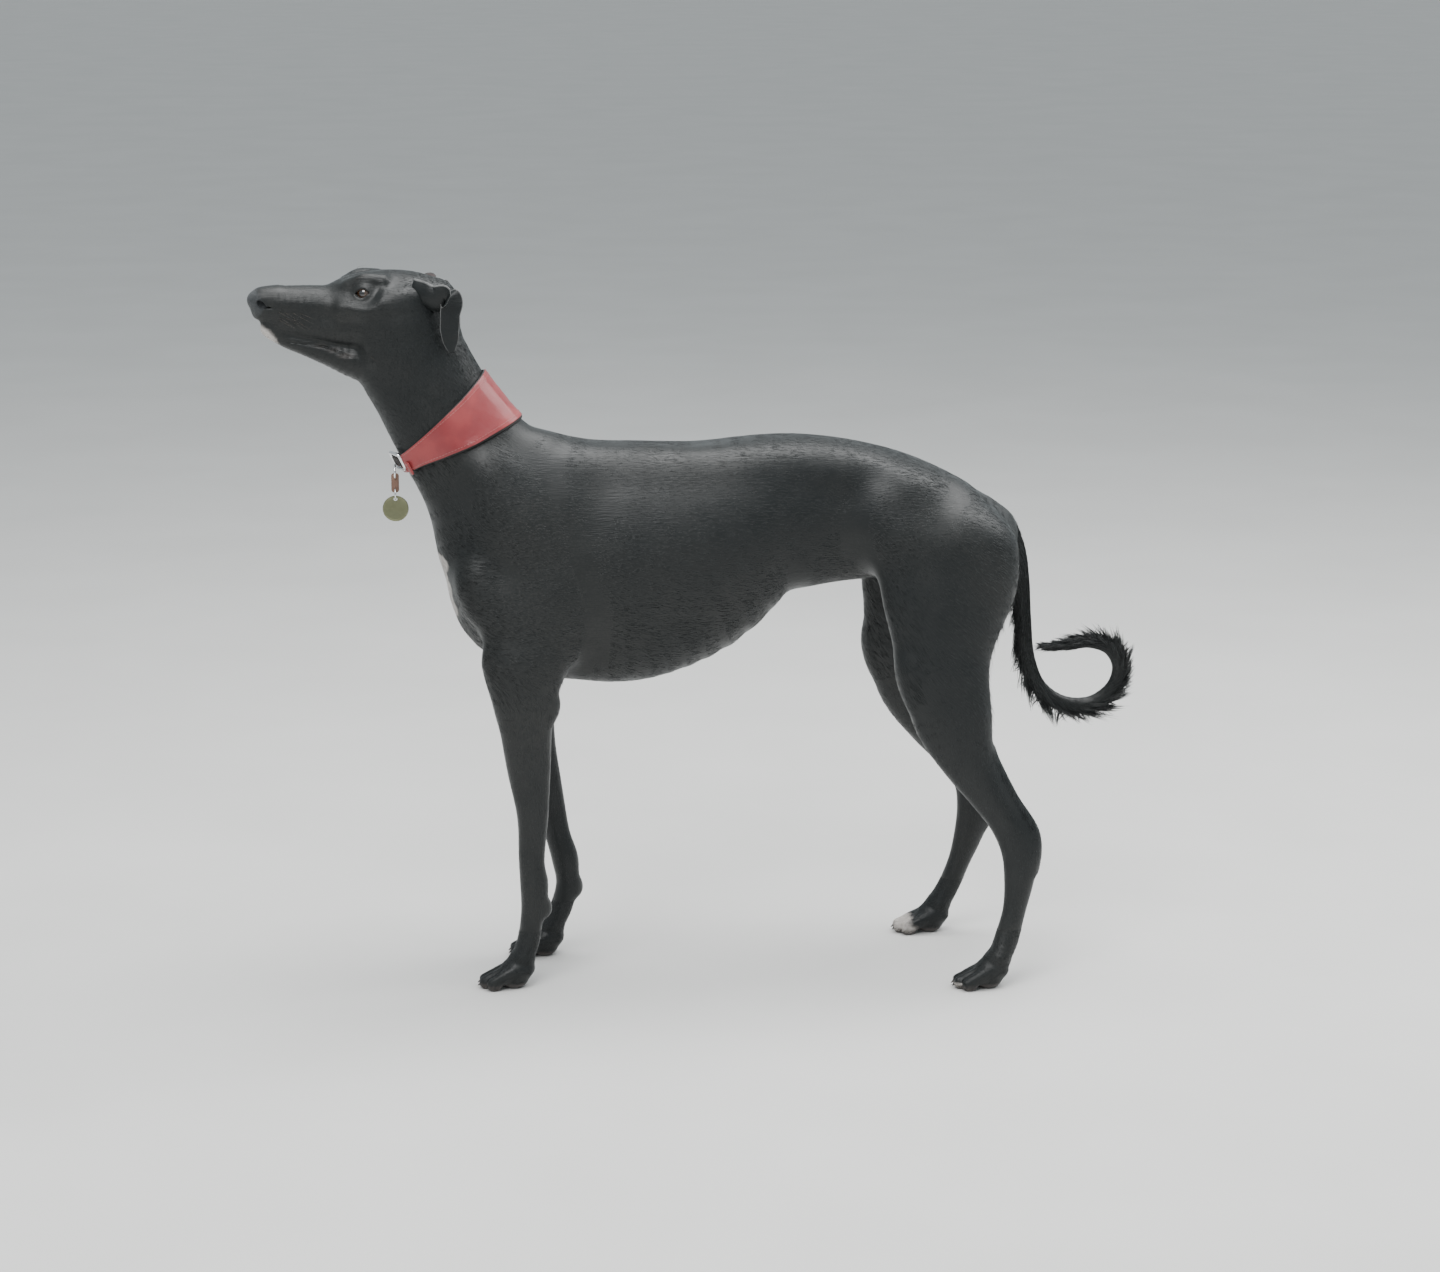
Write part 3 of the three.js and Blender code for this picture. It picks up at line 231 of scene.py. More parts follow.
PAWS = [
    Paw("left_forepaw", (-254, -FORE_Y), 50, 11.2, 18), Paw("right_forepaw", (-212, FORE_Y), 50, 11.2, 18),
    Paw("left_hindpaw", (343, -HIND_Y), 50, 10.4, 17.5), Paw("right_hindpaw", (302, HIND_Y), 54, 10.4, 17.5),
]


# The field of soft forms


def in_head(forward: float, out: float, up: float) -> Array:
    """A point given in the head's own axes.

    Args:
        forward: towards the nose.
        out: to the dog's right.
        up: above the eyes' height.

    Returns:
        The point in the dog's frame.
    """
    return HEAD_ORIGIN + FORWARD * forward + HEAD_SIDE * out + UP * up


def smooth_rows(rows: Sequence[Sequence[float]], steps: int) -> Array:
    """Rows with smooth rows put between them, by a Catmull-Rom curve.

    Args:
        rows: rows of numbers.
        steps: rows made for each given row.

    Returns:
        The finer rows.
    """
    r = np.asarray(rows, float)
    made = []
    for i in range(len(r) - 1):
        a, b, c, d = r[max(i - 1, 0)], r[i], r[i + 1], r[min(i + 2, len(r) - 1)]
        for t in np.arange(steps) / steps:
            made.append(0.5 * (2 * b + (c - a) * t + (2 * a - 5 * b + 4 * c - d) * t**2
                               + (3 * b - a - 3 * c + d) * t**3))
    made.append(r[-1])
    return np.array(made)


def unit(v: Array) -> Array:
    """Vectors scaled to length one.

    Args:
        v: vectors in the last axis.

    Returns:
        The unit vectors.
    """
    return v / np.maximum(np.linalg.norm(v, axis=-1, keepdims=True), 1e-12)


def ellipsoid_value(x: Array, y: Array, z: Array, a: Array, b: Array, c: Array) -> Array:
    """Distance-like value of points given in an ellipsoid's own axes.

    Args:
        x, y, z: the points.
        a, b, c: the half axes.

    Returns:
        Negative inside, about the distance outside.
    """
    x, y, z = x / a, y / b, z / c
    near = np.sqrt(x * x + y * y + z * z) + 1e-6
    x, y, z = x / a, y / b, z / c
    slope = np.sqrt(x * x + y * y + z * z)
    return near * (near - 1) / np.maximum(slope, 1e-7)


class Tube:
    """A soft tube through stations (x, y, z, half width, half depth)."""

    def __init__(self, rows: Sequence[Sequence[float]], blend: float, across: Array | None = None,
                 steps: int = 4, lie: int = 0) -> None:
        """Args:
            rows: the stations.
            blend: how far it melts into what it joins.
            across: the direction of its width.
            steps: rows made for each station.
            lie: 1 where the hair lies along the rows, -1 where it lies the other way, 0 for no say.
        """
        self.blend, self.lie = blend, lie
        r = smooth_rows(rows, steps)
        wide = np.array([0.0, 1.0, 0.0]) if across is None else across
        self.start, run = r[:-1, :3], r[1:, :3] - r[:-1, :3]
        self.length = np.linalg.norm(run, axis=1)
        self.along = unit(run)
        self.side = unit(wide - self.along * (self.along @ wide)[:, None])
        self.deep = np.cross(self.along, self.side)
        self.size, self.next = r[:-1, 3:5], r[1:, 3:5]
        self.passed = np.concatenate([[0.0], np.cumsum(self.length)])
        fat = r[:, 3:5].max(1)[:, None]
        spread = np.stack([r[:, :3] - fat, r[:, :3] + fat])
        self.lows = np.minimum(spread[0, :-1], spread[0, 1:]) - blend - 8
        self.highs = np.maximum(spread[1, :-1], spread[1, 1:]) + blend + 8
        self.low, self.high = self.lows.min(0), self.highs.max(0)
        self.girth = float(r[:, 3:5].mean())
        for key in ("start", "length", "along", "side", "deep", "size", "next", "lows", "highs"):
            setattr(self, key, getattr(self, key).astype(np.float32))

    def segment(self, i: int, p: Array) -> tuple[Array, Array, Array, Array]:
        """One length's value and the points' own coordinates.

        Args:
            i: which length.
            p: the points.

        Returns:
            The value, the place along, and the offsets to the side and in depth.
        """
        q = p - self.start[i]
        s = q @ self.along[i]
        t = np.clip(s / self.length[i], 0, 1)
        width = self.size[i, 0] + (self.next[i, 0] - self.size[i, 0]) * t
        depth = self.size[i, 1] + (self.next[i, 1] - self.size[i, 1]) * t
        a, b = q @ self.side[i], q @ self.deep[i]
        return ellipsoid_value(a, b, s - t * self.length[i], width, depth, np.minimum(width, depth)), s, a, b

    def value(self, p: Array) -> Array:
        """Args:
            p: points.

        Returns:
            The tube's value at each, or FAR where it has no say.
        """
        made = np.full(len(p), FAR, np.float32)
        for i in range(len(self.length)):
            sel = inside(p, self.lows[i], self.highs[i])
            if len(sel):
                made[sel] = np.minimum(made[sel], self.segment(i, p[sel])[0])
        return made


class Ball:
    """A soft ellipsoid, turned about the Y axis, or about the head's side axis."""

    lie = 0

    def __init__(self, at: Iterable[float], radii: Sequence[float], blend: float, turn: float = 0,
                 axes: Array | None = None) -> None:
        """Args:
            at: its middle.
            radii: half axes.
            blend: how far it melts into what it joins.
            turn: degrees about Y.
            axes: its own axes as rows, in place of the turn.
        """
        self.at, self.radii, self.blend = np.array(list(at), np.float32), np.array(radii, np.float32), blend
        c, s = math.cos(math.radians(turn)), math.sin(math.radians(turn))
        self.axes = np.array([[c, 0, -s], [0, 1, 0], [s, 0, c]] if axes is None else axes, np.float32)
        reach = self.radii.max() + blend + 8
        self.low, self.high = self.at - reach, self.at + reach

    def value(self, p: Array) -> Array:
        """Args:
            p: points.

        Returns:
            The ball's value at each.
        """
        q = (p - self.at) @ self.axes.T
        return ellipsoid_value(q[:, 0], q[:, 1], q[:, 2], *self.radii)


def inside(p: Array, lows: Array, highs: Array) -> Array:
    """Indices of the points in a box.

    Args:
        p: points.
        lows: the box's lowest corner.
        highs: its highest corner.

    Returns:
        The indices.
    """
    ok = (p[:, 0] > lows[0]) & (p[:, 0] < highs[0])
    ok &= (p[:, 2] > lows[2]) & (p[:, 2] < highs[2])
    ok &= (p[:, 1] > lows[1]) & (p[:, 1] < highs[1])
    return np.nonzero(ok)[0]


def soft_min(a: Array, b: Array, k: float) -> Array:
    """The smaller of two values with a rounded join of width k.

    Args:
        a, b: the values.
        k: width of the join.

    Returns:
        The soft minimum.
    """
    h = np.maximum(k - np.abs(a - b), 0) / k
    return np.minimum(a, b) - h * h * k / 4


def head_tube(rows: Sequence[Sequence[float]], blend: float, lie: int = 0, side: int = 1) -> Tube:
    """A tube whose rows are in the head's own axes.

    Args:
        rows: (forward, out, up, half width, half height).
        blend: how far it melts into what it joins.
        lie: which way the hair lies along it.
        side: 1 for the right side, -1 for the left.

    Returns:
        The tube.
    """
    placed = [(*in_head(f, side * o, u), w, h) for f, o, u, w, h in rows]
    middle = all(row[1] == 0 for row in rows)
    return Tube(placed, blend, across=HEAD_SIDE if middle else None, lie=lie)


class Dog:
    """The whole body as one smooth field."""

    def __init__(self) -> None:
        """Gathers the forms in the order in which they melt together."""
        self.forms: list[Tube | Ball] = [Tube(TRUNK, 10, lie=1), Tube(NECK, 48, lie=-1)]
        for s in (-1, 1):
            self.forms.append(Tube([(x, s * y, *rest) for x, y, *rest in BACK_MUSCLE], 22))
            for (x, y, z), radii, blend, turn in MUSCLES:
                self.forms.append(Ball((x, s * y, z), radii, blend, turn))
        self.forms += [head_tube(SKULL, 26, -1), head_tube(UPPER_LIPS, 12, 1), head_tube(LOWER_JAW, 7, 1)]
        for s in (-1, 1):
            self.forms.append(Ball(in_head(-30, s * 33, -50), (36, 16, 40), 26))
            self.forms += [head_tube(CHEEKBONE, 14, 0, s), head_tube(BROW, 12, 0, s)]
        self.forms.append(head_tube(NOSE, 6))
        for name, s in SIDES.items():
            self.forms += self.leg(name, s)
        for paw in PAWS:
            self.forms += self.paw(paw)
        self.tail = Tube(TAIL, 14, lie=1)
        self.forms.append(Tube(TAIL_ROOT, 14, lie=1))
        self.hollows = [head_tube(FURROW, 10)]
        self.hollows += [Ball(in_head(12, s * 47.5, -2), (14, 10, 10), 12) for s in (-1, 1)]

    @staticmethod
    def leg(name: str, s: int) -> list[Tube | Ball]:
        """The forms of a foreleg and a hind leg.

        Args:
            name: left or right.
            s: -1 or 1.

        Returns:
            The forms.
        """
        def mirrored(rows: Sequence[Sequence[float]]) -> list[tuple[float, ...]]:
            return [(x, s * y, *rest) for x, y, *rest in rows]

        fore, hind = FORELEG[name], HINDLEG[name]
        wrist, stifle = fore[6], hind[3]
        return [
            Tube(mirrored(fore), 24, lie=1),
            Ball((fore[1][0] + 34, s * 68, 362), (10, 11, 17), 12, 20),
            Ball((wrist[0] + 15, s * wrist[1], wrist[2] - WRIST_PAD_DROP[name]), (7, 7, 10), 15),
            Tube(mirrored(hind), 34, lie=1),
            Tube(mirrored(HOCK_CORD[name]), 8),
            Ball((stifle[0] - 44, s * (stifle[1] + 2), stifle[2] + 6), (13, 18, 30), 20, -12),
            Ball((stifle[0] + 34, s * (stifle[1] + 2), stifle[2] - 30), (20, 20, 60), 24, -10),
        ]

    @staticmethod
    def paw(paw: Paw) -> list[Tube | Ball]:
        """Toes and pads of one foot.

        Args:
            paw: its sizes.

        Returns:
            The forms.
        """
        forms: list[Tube | Ball] = [Tube(rows, 4.5, steps=3, lie=1) for rows, _ in paw.toes()]
        forms.append(Ball((paw.heel[0] - 13, paw.heel[1], 9), (17, paw.wide * 1.55, 11), 8))
        forms.append(Ball((paw.heel[0] - 7, paw.heel[1], 27), (17, 14, 16), 13))
        forms += [Ball((rows[3][0] + 3, rows[3][1], 5), (8.5, 6, 6.5), 4) for rows, _ in paw.toes()]
        return forms

    def value(self, p: Array) -> Array:
        """The body's value, worked out in several threads.

        Args:
            p: points.

        Returns:
            Negative inside the body.
        """
        p = np.asarray(p, np.float32)
        if len(p) < 4 * CHUNK:
            return self.value_of(p)
        return np.concatenate(list(POOL.map(self.value_of, np.array_split(p, len(p) // CHUNK))))

    def value_of(self, p: Array) -> Array:
        """The body's value for a few points.

        Args:
            p: points.

        Returns:
            Negative inside the body.
        """
        made = np.full(len(p), FAR, np.float32)
        for form in self.forms:
            sel = inside(p, form.low, form.high)
            if len(sel):
                made[sel] = soft_min(made[sel], form.value(p[sel]), form.blend)
        for hollow in self.hollows:
            sel = inside(p, hollow.low, hollow.high)
            if len(sel):
                made[sel] = -soft_min(-made[sel], hollow.value(p[sel]), hollow.blend)
        return made

    def lie(self, p: Array) -> tuple[Array, Array, Array]:
        """How the coat lies at points on the skin.

        Args:
            p: points.

        Returns:
            Unit directions of the hair, coordinates (along, around) of the nearest tube, and its number.
        """
        tubes = [f for f in self.forms if f.lie] + [self.tail]
        values = np.full((len(tubes), len(p)), FAR)
        ways = np.zeros((len(tubes), len(p), 3))
        own = np.zeros((len(tubes), len(p), 2))
        for k, tube in enumerate(tubes):
            for i in range(len(tube.length)):
                sel = inside(p, tube.lows[i] - 10, tube.highs[i] + 10)
                if not len(sel):
                    continue
                v, s, a, b = tube.segment(i, p[sel])
                better = v < values[k, sel]
                hit = sel[better]
                values[k, hit] = v[better]
                ways[k, hit] = tube.along[i] * tube.lie
                own[k, hit, 0] = tube.passed[i] + s[better]
                own[k, hit, 1] = np.arctan2(a[better], b[better]) * tube.girth
        best = values.argmin(0)
        weight = np.exp(-np.clip(values - values.min(0), 0, 200) / 11)
        way = unit((weight[..., None] * ways).sum(0) + np.array([0, 0, -0.3]))
        take = np.arange(len(p))
        return way, own[best, take], best


DOG = Dog()


def chain(p: Array, points: Sequence[tuple[float, float]]) -> Array:
    """Distance of 2-D points to a broken line.

    Args:
        p: the points.
        points: corners of the line.

    Returns:
        The distances.
    """
    least = np.full(len(p), FAR)
    for a, b in zip(np.array(points[:-1], float), np.array(points[1:], float)):
        t = np.clip(((p - a) @ (b - a)) / ((b - a) @ (b - a)), 0, 1)
        least = np.minimum(least, np.linalg.norm(p - a - t[:, None] * (b - a), axis=1))
    return least


def to_head(p: Array) -> Array:
    """Points in the head's own axes.

    Args:
        p: points in the dog's frame.

    Returns:
        (forward, out, up) of each.
    """
    q = p - HEAD_ORIGIN
    return np.stack([q @ FORWARD, q @ HEAD_SIDE, q[:, 2]], 1)


def eye_axes(s: int) -> tuple[Array, Array, Array, Array]:
    """Middle and axes of an eye.

    Args:
        s: -1 for the left, 1 for the right.

    Returns:
        Its middle, level axis, upward axis and gaze.
    """
    f, o, u = EYE_PLACE
    gaze = unit(FORWARD * GAZE[0] + HEAD_SIDE * s * GAZE[1] + UP * GAZE[2])
    level = unit(np.cross(UP, gaze))
    return in_head(f, s * o, u), level, np.cross(gaze, level), gaze


def lid_edge(x: Array, upper: bool) -> Array:
    """Height of a lid's edge across the eye.

    Args:
        x: place across, in millimetres from the middle.
        upper: for the upper lid.

    Returns:
        The height of the edge above the eye's middle.
    """
    arch = APERTURE[1] * (1 - (x / APERTURE[0]) ** 2)
    return (arch if upper else -arch) + 0.08 * x - 0.25


NOSTRIL = {"at": (130, 12, -14), "radii": (7.5, 4.0, 5.2), "pitch": -0.7}
NOSTRIL_SLIT = {"at": (121, 13.5, -18), "radii": (6.5, 3.0, 1.5), "pitch": -0.15}
LIP_FRONT = Ball(in_head(117, 0, -45), (12, 11, 11), 9)


def head_value(p: Array) -> Array:
    """The head's value, with eyelids, nostrils and the line of the mouth.

    Args:
        p: points.

    Returns:
        Negative inside.
    """
    v = DOG.value(p) + COAT_DEPTH
    h = to_head(p)
    for s in (-1, 1):
        middle, level, upward, gaze = eye_axes(s)
        sel = np.nonzero(np.linalg.norm(p - middle, axis=1) < 34)[0]
        if not len(sel):
            continue
        q = p[sel] - middle
        far = np.linalg.norm(q, axis=1)
        bulge = soft_min(v[sel], far - (EYE_RADIUS + LID), 9)
        x, y, w = q @ level, q @ upward, q @ gaze
        slope = 1 / np.sqrt(1 + (2 * APERTURE[1] * x / APERTURE[0] ** 2) ** 2)
        gap = np.maximum(y - lid_edge(x, True), lid_edge(x, False) - y) * slope
        bulge = np.maximum(bulge, -np.maximum(gap, -w))
        v[sel] = np.maximum(bulge, EYE_RADIUS + 0.25 - far)
    for s in (-1, 1):
        for opening in (NOSTRIL, NOSTRIL_SLIT):
            f, o, u = opening["at"]
            c, n = math.cos(opening["pitch"]), math.sin(opening["pitch"])
            axes = np.array([FORWARD * c - UP * n, HEAD_SIDE * s, FORWARD * n + UP * c])
            hole = Ball(in_head(f, s * o, u), opening["radii"], 2, axes=axes)
            sel = inside(p, hole.low, hole.high)
            if len(sel):
                v[sel] = -soft_min(-v[sel], hole.value(p[sel]), 1.6)
    v = soft_min(v, LIP_FRONT.value(p), 9)
    sel = np.nonzero((h[:, 0] > 20) & (h[:, 2] < -25) & (np.abs(v) < 12))[0]
    if len(sel):
        depth = np.interp(h[sel, 0], [27, 50, 100, 114], [1.6, 2.0, 1.2, -0.3])
        groove = np.maximum(chain(h[sel][:, [0, 2]], LIP_LINE) - 0.55, -(v[sel] + depth))
        v[sel] = -soft_min(-v[sel], groove, 1.6)
        roll = np.exp(-((chain(h[sel][:, [0, 2]], LIP_LINE) - 3.4) / 2.2) ** 2)
        v[sel] -= 0.28 * roll * np.interp(h[sel, 0], [30, 45, 110, 135], [0, 1, 1, 0])
    return v


# Meshes


SHIFT = np.array(sum(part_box("left_eye"), Vector()) / 2) / MM - eye_axes(-1)[0]


def to_frame(p: Array) -> Array:
    """Points of the dog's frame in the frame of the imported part.

    Args:
        p: millimetres.

    Returns:
        Metres.
    """
    return (np.asarray(p, float) + SHIFT) * MM


def add_mesh(name: str, vertices: Array, faces: list, material: Material) -> Object:
    """A smooth mesh object at the origin with its place in its mesh.

    Args:
        name: its name.
        vertices: in metres.
        faces: indices.
        material: its finish.

    Returns:
        The object.
    """
    mesh = bpy.data.meshes.new(name)
    mesh.from_pydata(vertices.tolist(), [], faces)
    mesh.validate()
    mesh.update()
    mesh.polygons.foreach_set("use_smooth", [True] * len(mesh.polygons))
    mesh.materials.append(material)
    made = bpy.data.objects.new(name, mesh)
    bpy.context.scene.collection.objects.link(made)
    log.info("%s: %d vertices, %d faces", name, len(mesh.vertices), len(mesh.polygons))
    return made


def slope_of(value: Callable[[Array], Array], p: Array, step: float = 0.4) -> tuple[Array, Array]:
    """Value and gradient of a field.

    Args:
        value: the field.
        p: points.
        step: distance between samples.

    Returns:
        The values and the gradients.
    """
    signs = np.array([[1, -1, -1], [-1, -1, 1], [-1, 1, -1], [1, 1, 1]], float)
    samples = [value(p + sign * step) for sign in signs]
    gradient = sum(sign * v[:, None] for sign, v in zip(signs, samples)) / (4 * step)
    return sum(samples) / 4, gradient


def settle(p: Array, level: float) -> tuple[Array, Array]:
    """Moves points onto the body.

    Args:
        p: points near the body.
        level: value of the field where they end.

    Returns:
        The points and the normals there.
    """
    for _ in range(4):
        v, g = slope_of(DOG.value, p)
        p = p - (v - level)[:, None] * g / np.maximum((g**2).sum(1), 0.2)[:, None]
    return p, unit(slope_of(DOG.value, p)[1])


def links_of(faces: Array) -> Array:
    """The edges of quads.

    Args:
        faces: the quads.

    Returns:
        Pairs of vertices.
    """
    return np.concatenate([faces[:, [0, 1]], faces[:, [1, 2]], faces[:, [2, 3]], faces[:, [3, 0]]])


def averaged(rows: Array, links: Array, rounds: int) -> Array:
    """Vectors at the vertices, evened out with their neighbours'.

    Args:
        rows: the vectors.
        links: the edges.
        rounds: how often.

    Returns:
        The evened vectors.
    """
    for _ in range(rounds):
        total, tally = np.zeros_like(rows), np.zeros(len(rows))
        for a, b in (links.T, links.T[::-1]):
            for k in range(3):
                total[:, k] += np.bincount(a, rows[b, k], len(rows))
            tally += np.bincount(a, minlength=len(rows))
        rows = rows + 0.5 * (total / tally[:, None] - rows)
    return rows


# Where the coat slants down and back, as middle and half axes: the neck and the thighs
SLANTING = [((-358, 0, 700), (95, 140, 120)), ((275, 0, 460), (105, 260, 130))]
ALONG_TRUNK, DOWN_LEGS, SLANT = (1, 0, -0.12), (0.08, 0, -1.0), (0.7, 0, -0.7)


def flow(p: Array) -> Array:
    """Which way the coat lies: back along the trunk, down the legs, down and back on neck and thighs.

    Args:
        p: points on the skin.

    Returns:
        Unit directions.
    """
    lower = np.clip((440 - p[:, 2:]) / 90, 0, 1)
    far = [np.linalg.norm((p - middle) / radii, axis=1, keepdims=True) for middle, radii in SLANTING]
    slanting = np.clip((1.3 - np.minimum(*far)) / 0.6, 0, 1)
    way = (1 - lower) * ALONG_TRUNK + lower * DOWN_LEGS
    return unit((1 - slanting) * way + slanting * SLANT)


def surface(value: Callable[[Array], Array], lows: Sequence[float], highs: Sequence[float],
            cell: float, calm: int = 0) -> tuple[Array, Array, Array]:
    """The closed zero surface of a field, as quads laid on it.

    Args:
        value: the field.
        lows: lowest corner of the box that holds it.
        highs: highest corner.
        cell: size of a face.
        calm: how often the normals are averaged with their neighbours.

    Returns:
        Vertices, faces and normals.
    """
    block = 4
    lows = np.asarray(lows, float)
    count = np.ceil((np.asarray(highs) - lows) / (cell * block)).astype(int)
    corner = np.stack(np.meshgrid(*(np.arange(n) for n in count), indexing="ij"), -1).reshape(-1, 3)
    middle = value(lows + (corner * block + block / 2 - 0.5) * cell)
    grid = np.where(middle < 0, -50.0, 50.0).reshape(count).astype(np.float32)
    for axis in range(3):
        grid = np.repeat(grid, block, axis)
    near = corner[np.abs(middle) < cell * block * 1.3 + 2]
    offset = np.stack(np.meshgrid(*[np.arange(block)] * 3, indexing="ij"), -1).reshape(-1, 3)
    places = (near[:, None] * block + offset).reshape(-1, 3)
    grid[tuple(places.T)] = value(lows + places * cell)
    filled = grid < 0
    nx, ny, nz = np.array(filled.shape) - 1
    total = sum(filled[i:i + nx, j:j + ny, k:k + nz].astype(np.int8)
                for i in (0, 1) for j in (0, 1) for k in (0, 1))
    cells = np.argwhere((total > 0) & (total < 8))
    number = np.full(np.array(grid.shape) - 1, -1, np.int32)
    number[tuple(cells.T)] = np.arange(len(cells))
    crossing, hits = np.zeros((len(cells), 3)), np.zeros(len(cells))
    for axis in range(3):
        others = [k for k in range(3) if k != axis]
        for i in (0, 1):
            for j in (0, 1):
                start = np.zeros(3, int)
                start[others[0]], start[others[1]] = i, j
                end = start.copy()
                end[axis] = 1
                a, b = grid[tuple((cells + start).T)], grid[tuple((cells + end).T)]
                ok = (a < 0) != (b < 0)
                t = a[ok] / (a[ok] - b[ok])
                place = np.tile(start.astype(float), (ok.sum(), 1))
                place[:, axis] = t
                crossing[ok] += place
                hits[ok] += 1
    vertices = lows + (cells + crossing / hits[:, None]) * cell
    faces = []
    for axis in range(3):
        u, v = [k for k in range(3) if k != axis]
        step = np.zeros(3, int)
        step[axis] = 1
        a = filled[tuple(slice(0, n - s) for n, s in zip(filled.shape, step))]
        b = filled[tuple(slice(s, n) for n, s in zip(filled.shape, step))]
        edges = np.argwhere(a != b)
        edges = edges[(edges[:, u] > 0) & (edges[:, v] > 0)]
        out = a[tuple(edges.T)]
        ring = []
        for du, dv in ((1, 1), (0, 1), (0, 0), (1, 0)):
            shift = np.zeros(3, int)
            shift[u], shift[v] = du, dv
            ring.append(number[tuple((edges - shift).T)])
        quad = np.stack(ring, 1)
        turn = out if axis != 1 else ~out
        faces.append(np.where(turn[:, None], quad, quad[:, ::-1]))
    faces = np.concatenate(faces)
    faces = faces[(faces >= 0).all(1)]
    links = links_of(faces)
    vertices = averaged(vertices, links, 2)
    for again in range(2):
        if again:
            v = value(vertices)
        else:
            v, g = slope_of(value, vertices)
        move = -v[:, None] * g / np.maximum((g**2).sum(1), 0.2)[:, None]
        length = np.linalg.norm(move, axis=1, keepdims=True)
        vertices += move * np.minimum(1, cell / np.maximum(length, 1e-9))
    return vertices, faces, unit(averaged(unit(slope_of(value, vertices)[1]), links, calm))


Shape = tuple[Array, list[tuple[int, ...]]]


def loft(rings: Array, closed_ends: bool = True) -> Shape:
    """A closed tube through rings of points.

    Args:
        rings: (rings, sides, 3).
        closed_ends: for a flat fan at each end.

    Returns:
        Vertices and faces.
    """
    count, sides = rings.shape[:2]
    i, j = np.meshgrid(np.arange(count - 1), np.arange(sides), indexing="ij")
    k = (j + 1) % sides
    quads = np.stack([i * sides + j, i * sides + k, (i + 1) * sides + k, (i + 1) * sides + j], -1)
    vertices = rings.reshape(-1, 3)
    faces = [tuple(q) for q in quads.reshape(-1, 4).tolist()]
    if closed_ends:
        vertices = np.vstack([vertices, rings[0].mean(0), rings[-1].mean(0)])
        a, b = count * sides, count * sides + 1
        last = (count - 1) * sides
        faces += [(a, (n + 1) % sides, n) for n in range(sides)]
        faces += [(b, last + n, last + (n + 1) % sides) for n in range(sides)]
    return vertices, faces


def band(rings: Array) -> Shape:
    """A ring through rings of points, the last joined to the first.

    Args:
        rings: (rings, sides, 3).

    Returns:
        Vertices and faces.
    """
    vertices, faces = loft(np.concatenate([rings, rings[:1]]), False)
    count = rings.shape[0] * rings.shape[1]
    return vertices[:count], [tuple(i % count for i in face) for face in faces]


def joined(shapes: Iterable[Shape]) -> Shape:
    """Several shapes as one.

    Args:
        shapes: vertices and faces of each.

    Returns:
        Vertices and faces of all.
    """
    vertices, faces, start = [], [], 0
    for points, more in shapes:
        vertices.append(points)
        faces += [tuple(i + start for i in face) for face in more]
        start += len(points)
    return np.vstack(vertices), faces


def sweep(line: Array, radius: Array | float, sides: int = 10, flat: float = 1.0,
          side: Array | None = None) -> Array:
    """Rings round a line.

    Args:
        line: points of the middle.
        radius: half width at each point.
        sides: points in a ring.
        flat: depth over width.
        side: the direction of the width.

    Returns:
        The rings.
    """
    line = np.asarray(line, float)
    along = unit(np.gradient(line, axis=0))
    wide = np.array([0.0, 1.0, 0.0]) if side is None else np.asarray(side, float)
    across = unit(wide - along * (along @ wide)[:, None])
    deep = np.cross(along, across)
    angle = np.arange(sides) * 2 * math.pi / sides
    size = np.broadcast_to(np.asarray(radius, float), len(line))[:, None, None]
    return line[:, None] + size * (across[:, None] * np.cos(angle)[:, None]
                                   + flat * deep[:, None] * np.sin(angle)[:, None])


def fix_normals(piece: Object) -> None:
    """Turns a closed piece's faces outwards.

    Args:
        piece: the piece.
    """
    work = bmesh.new()
    work.from_mesh(piece.data)
    bmesh.ops.recalc_face_normals(work, faces=work.faces)
    work.to_mesh(piece.data)
    work.free()


# Materials


class Finish(Enum):
    """The record's material slots."""

    COAT = "coat"
    EYE = "eye"
    RED = "red_leather"
    TAN = "tan_leather"
    STEEL = "steel"
    TAG = "tag_metal"


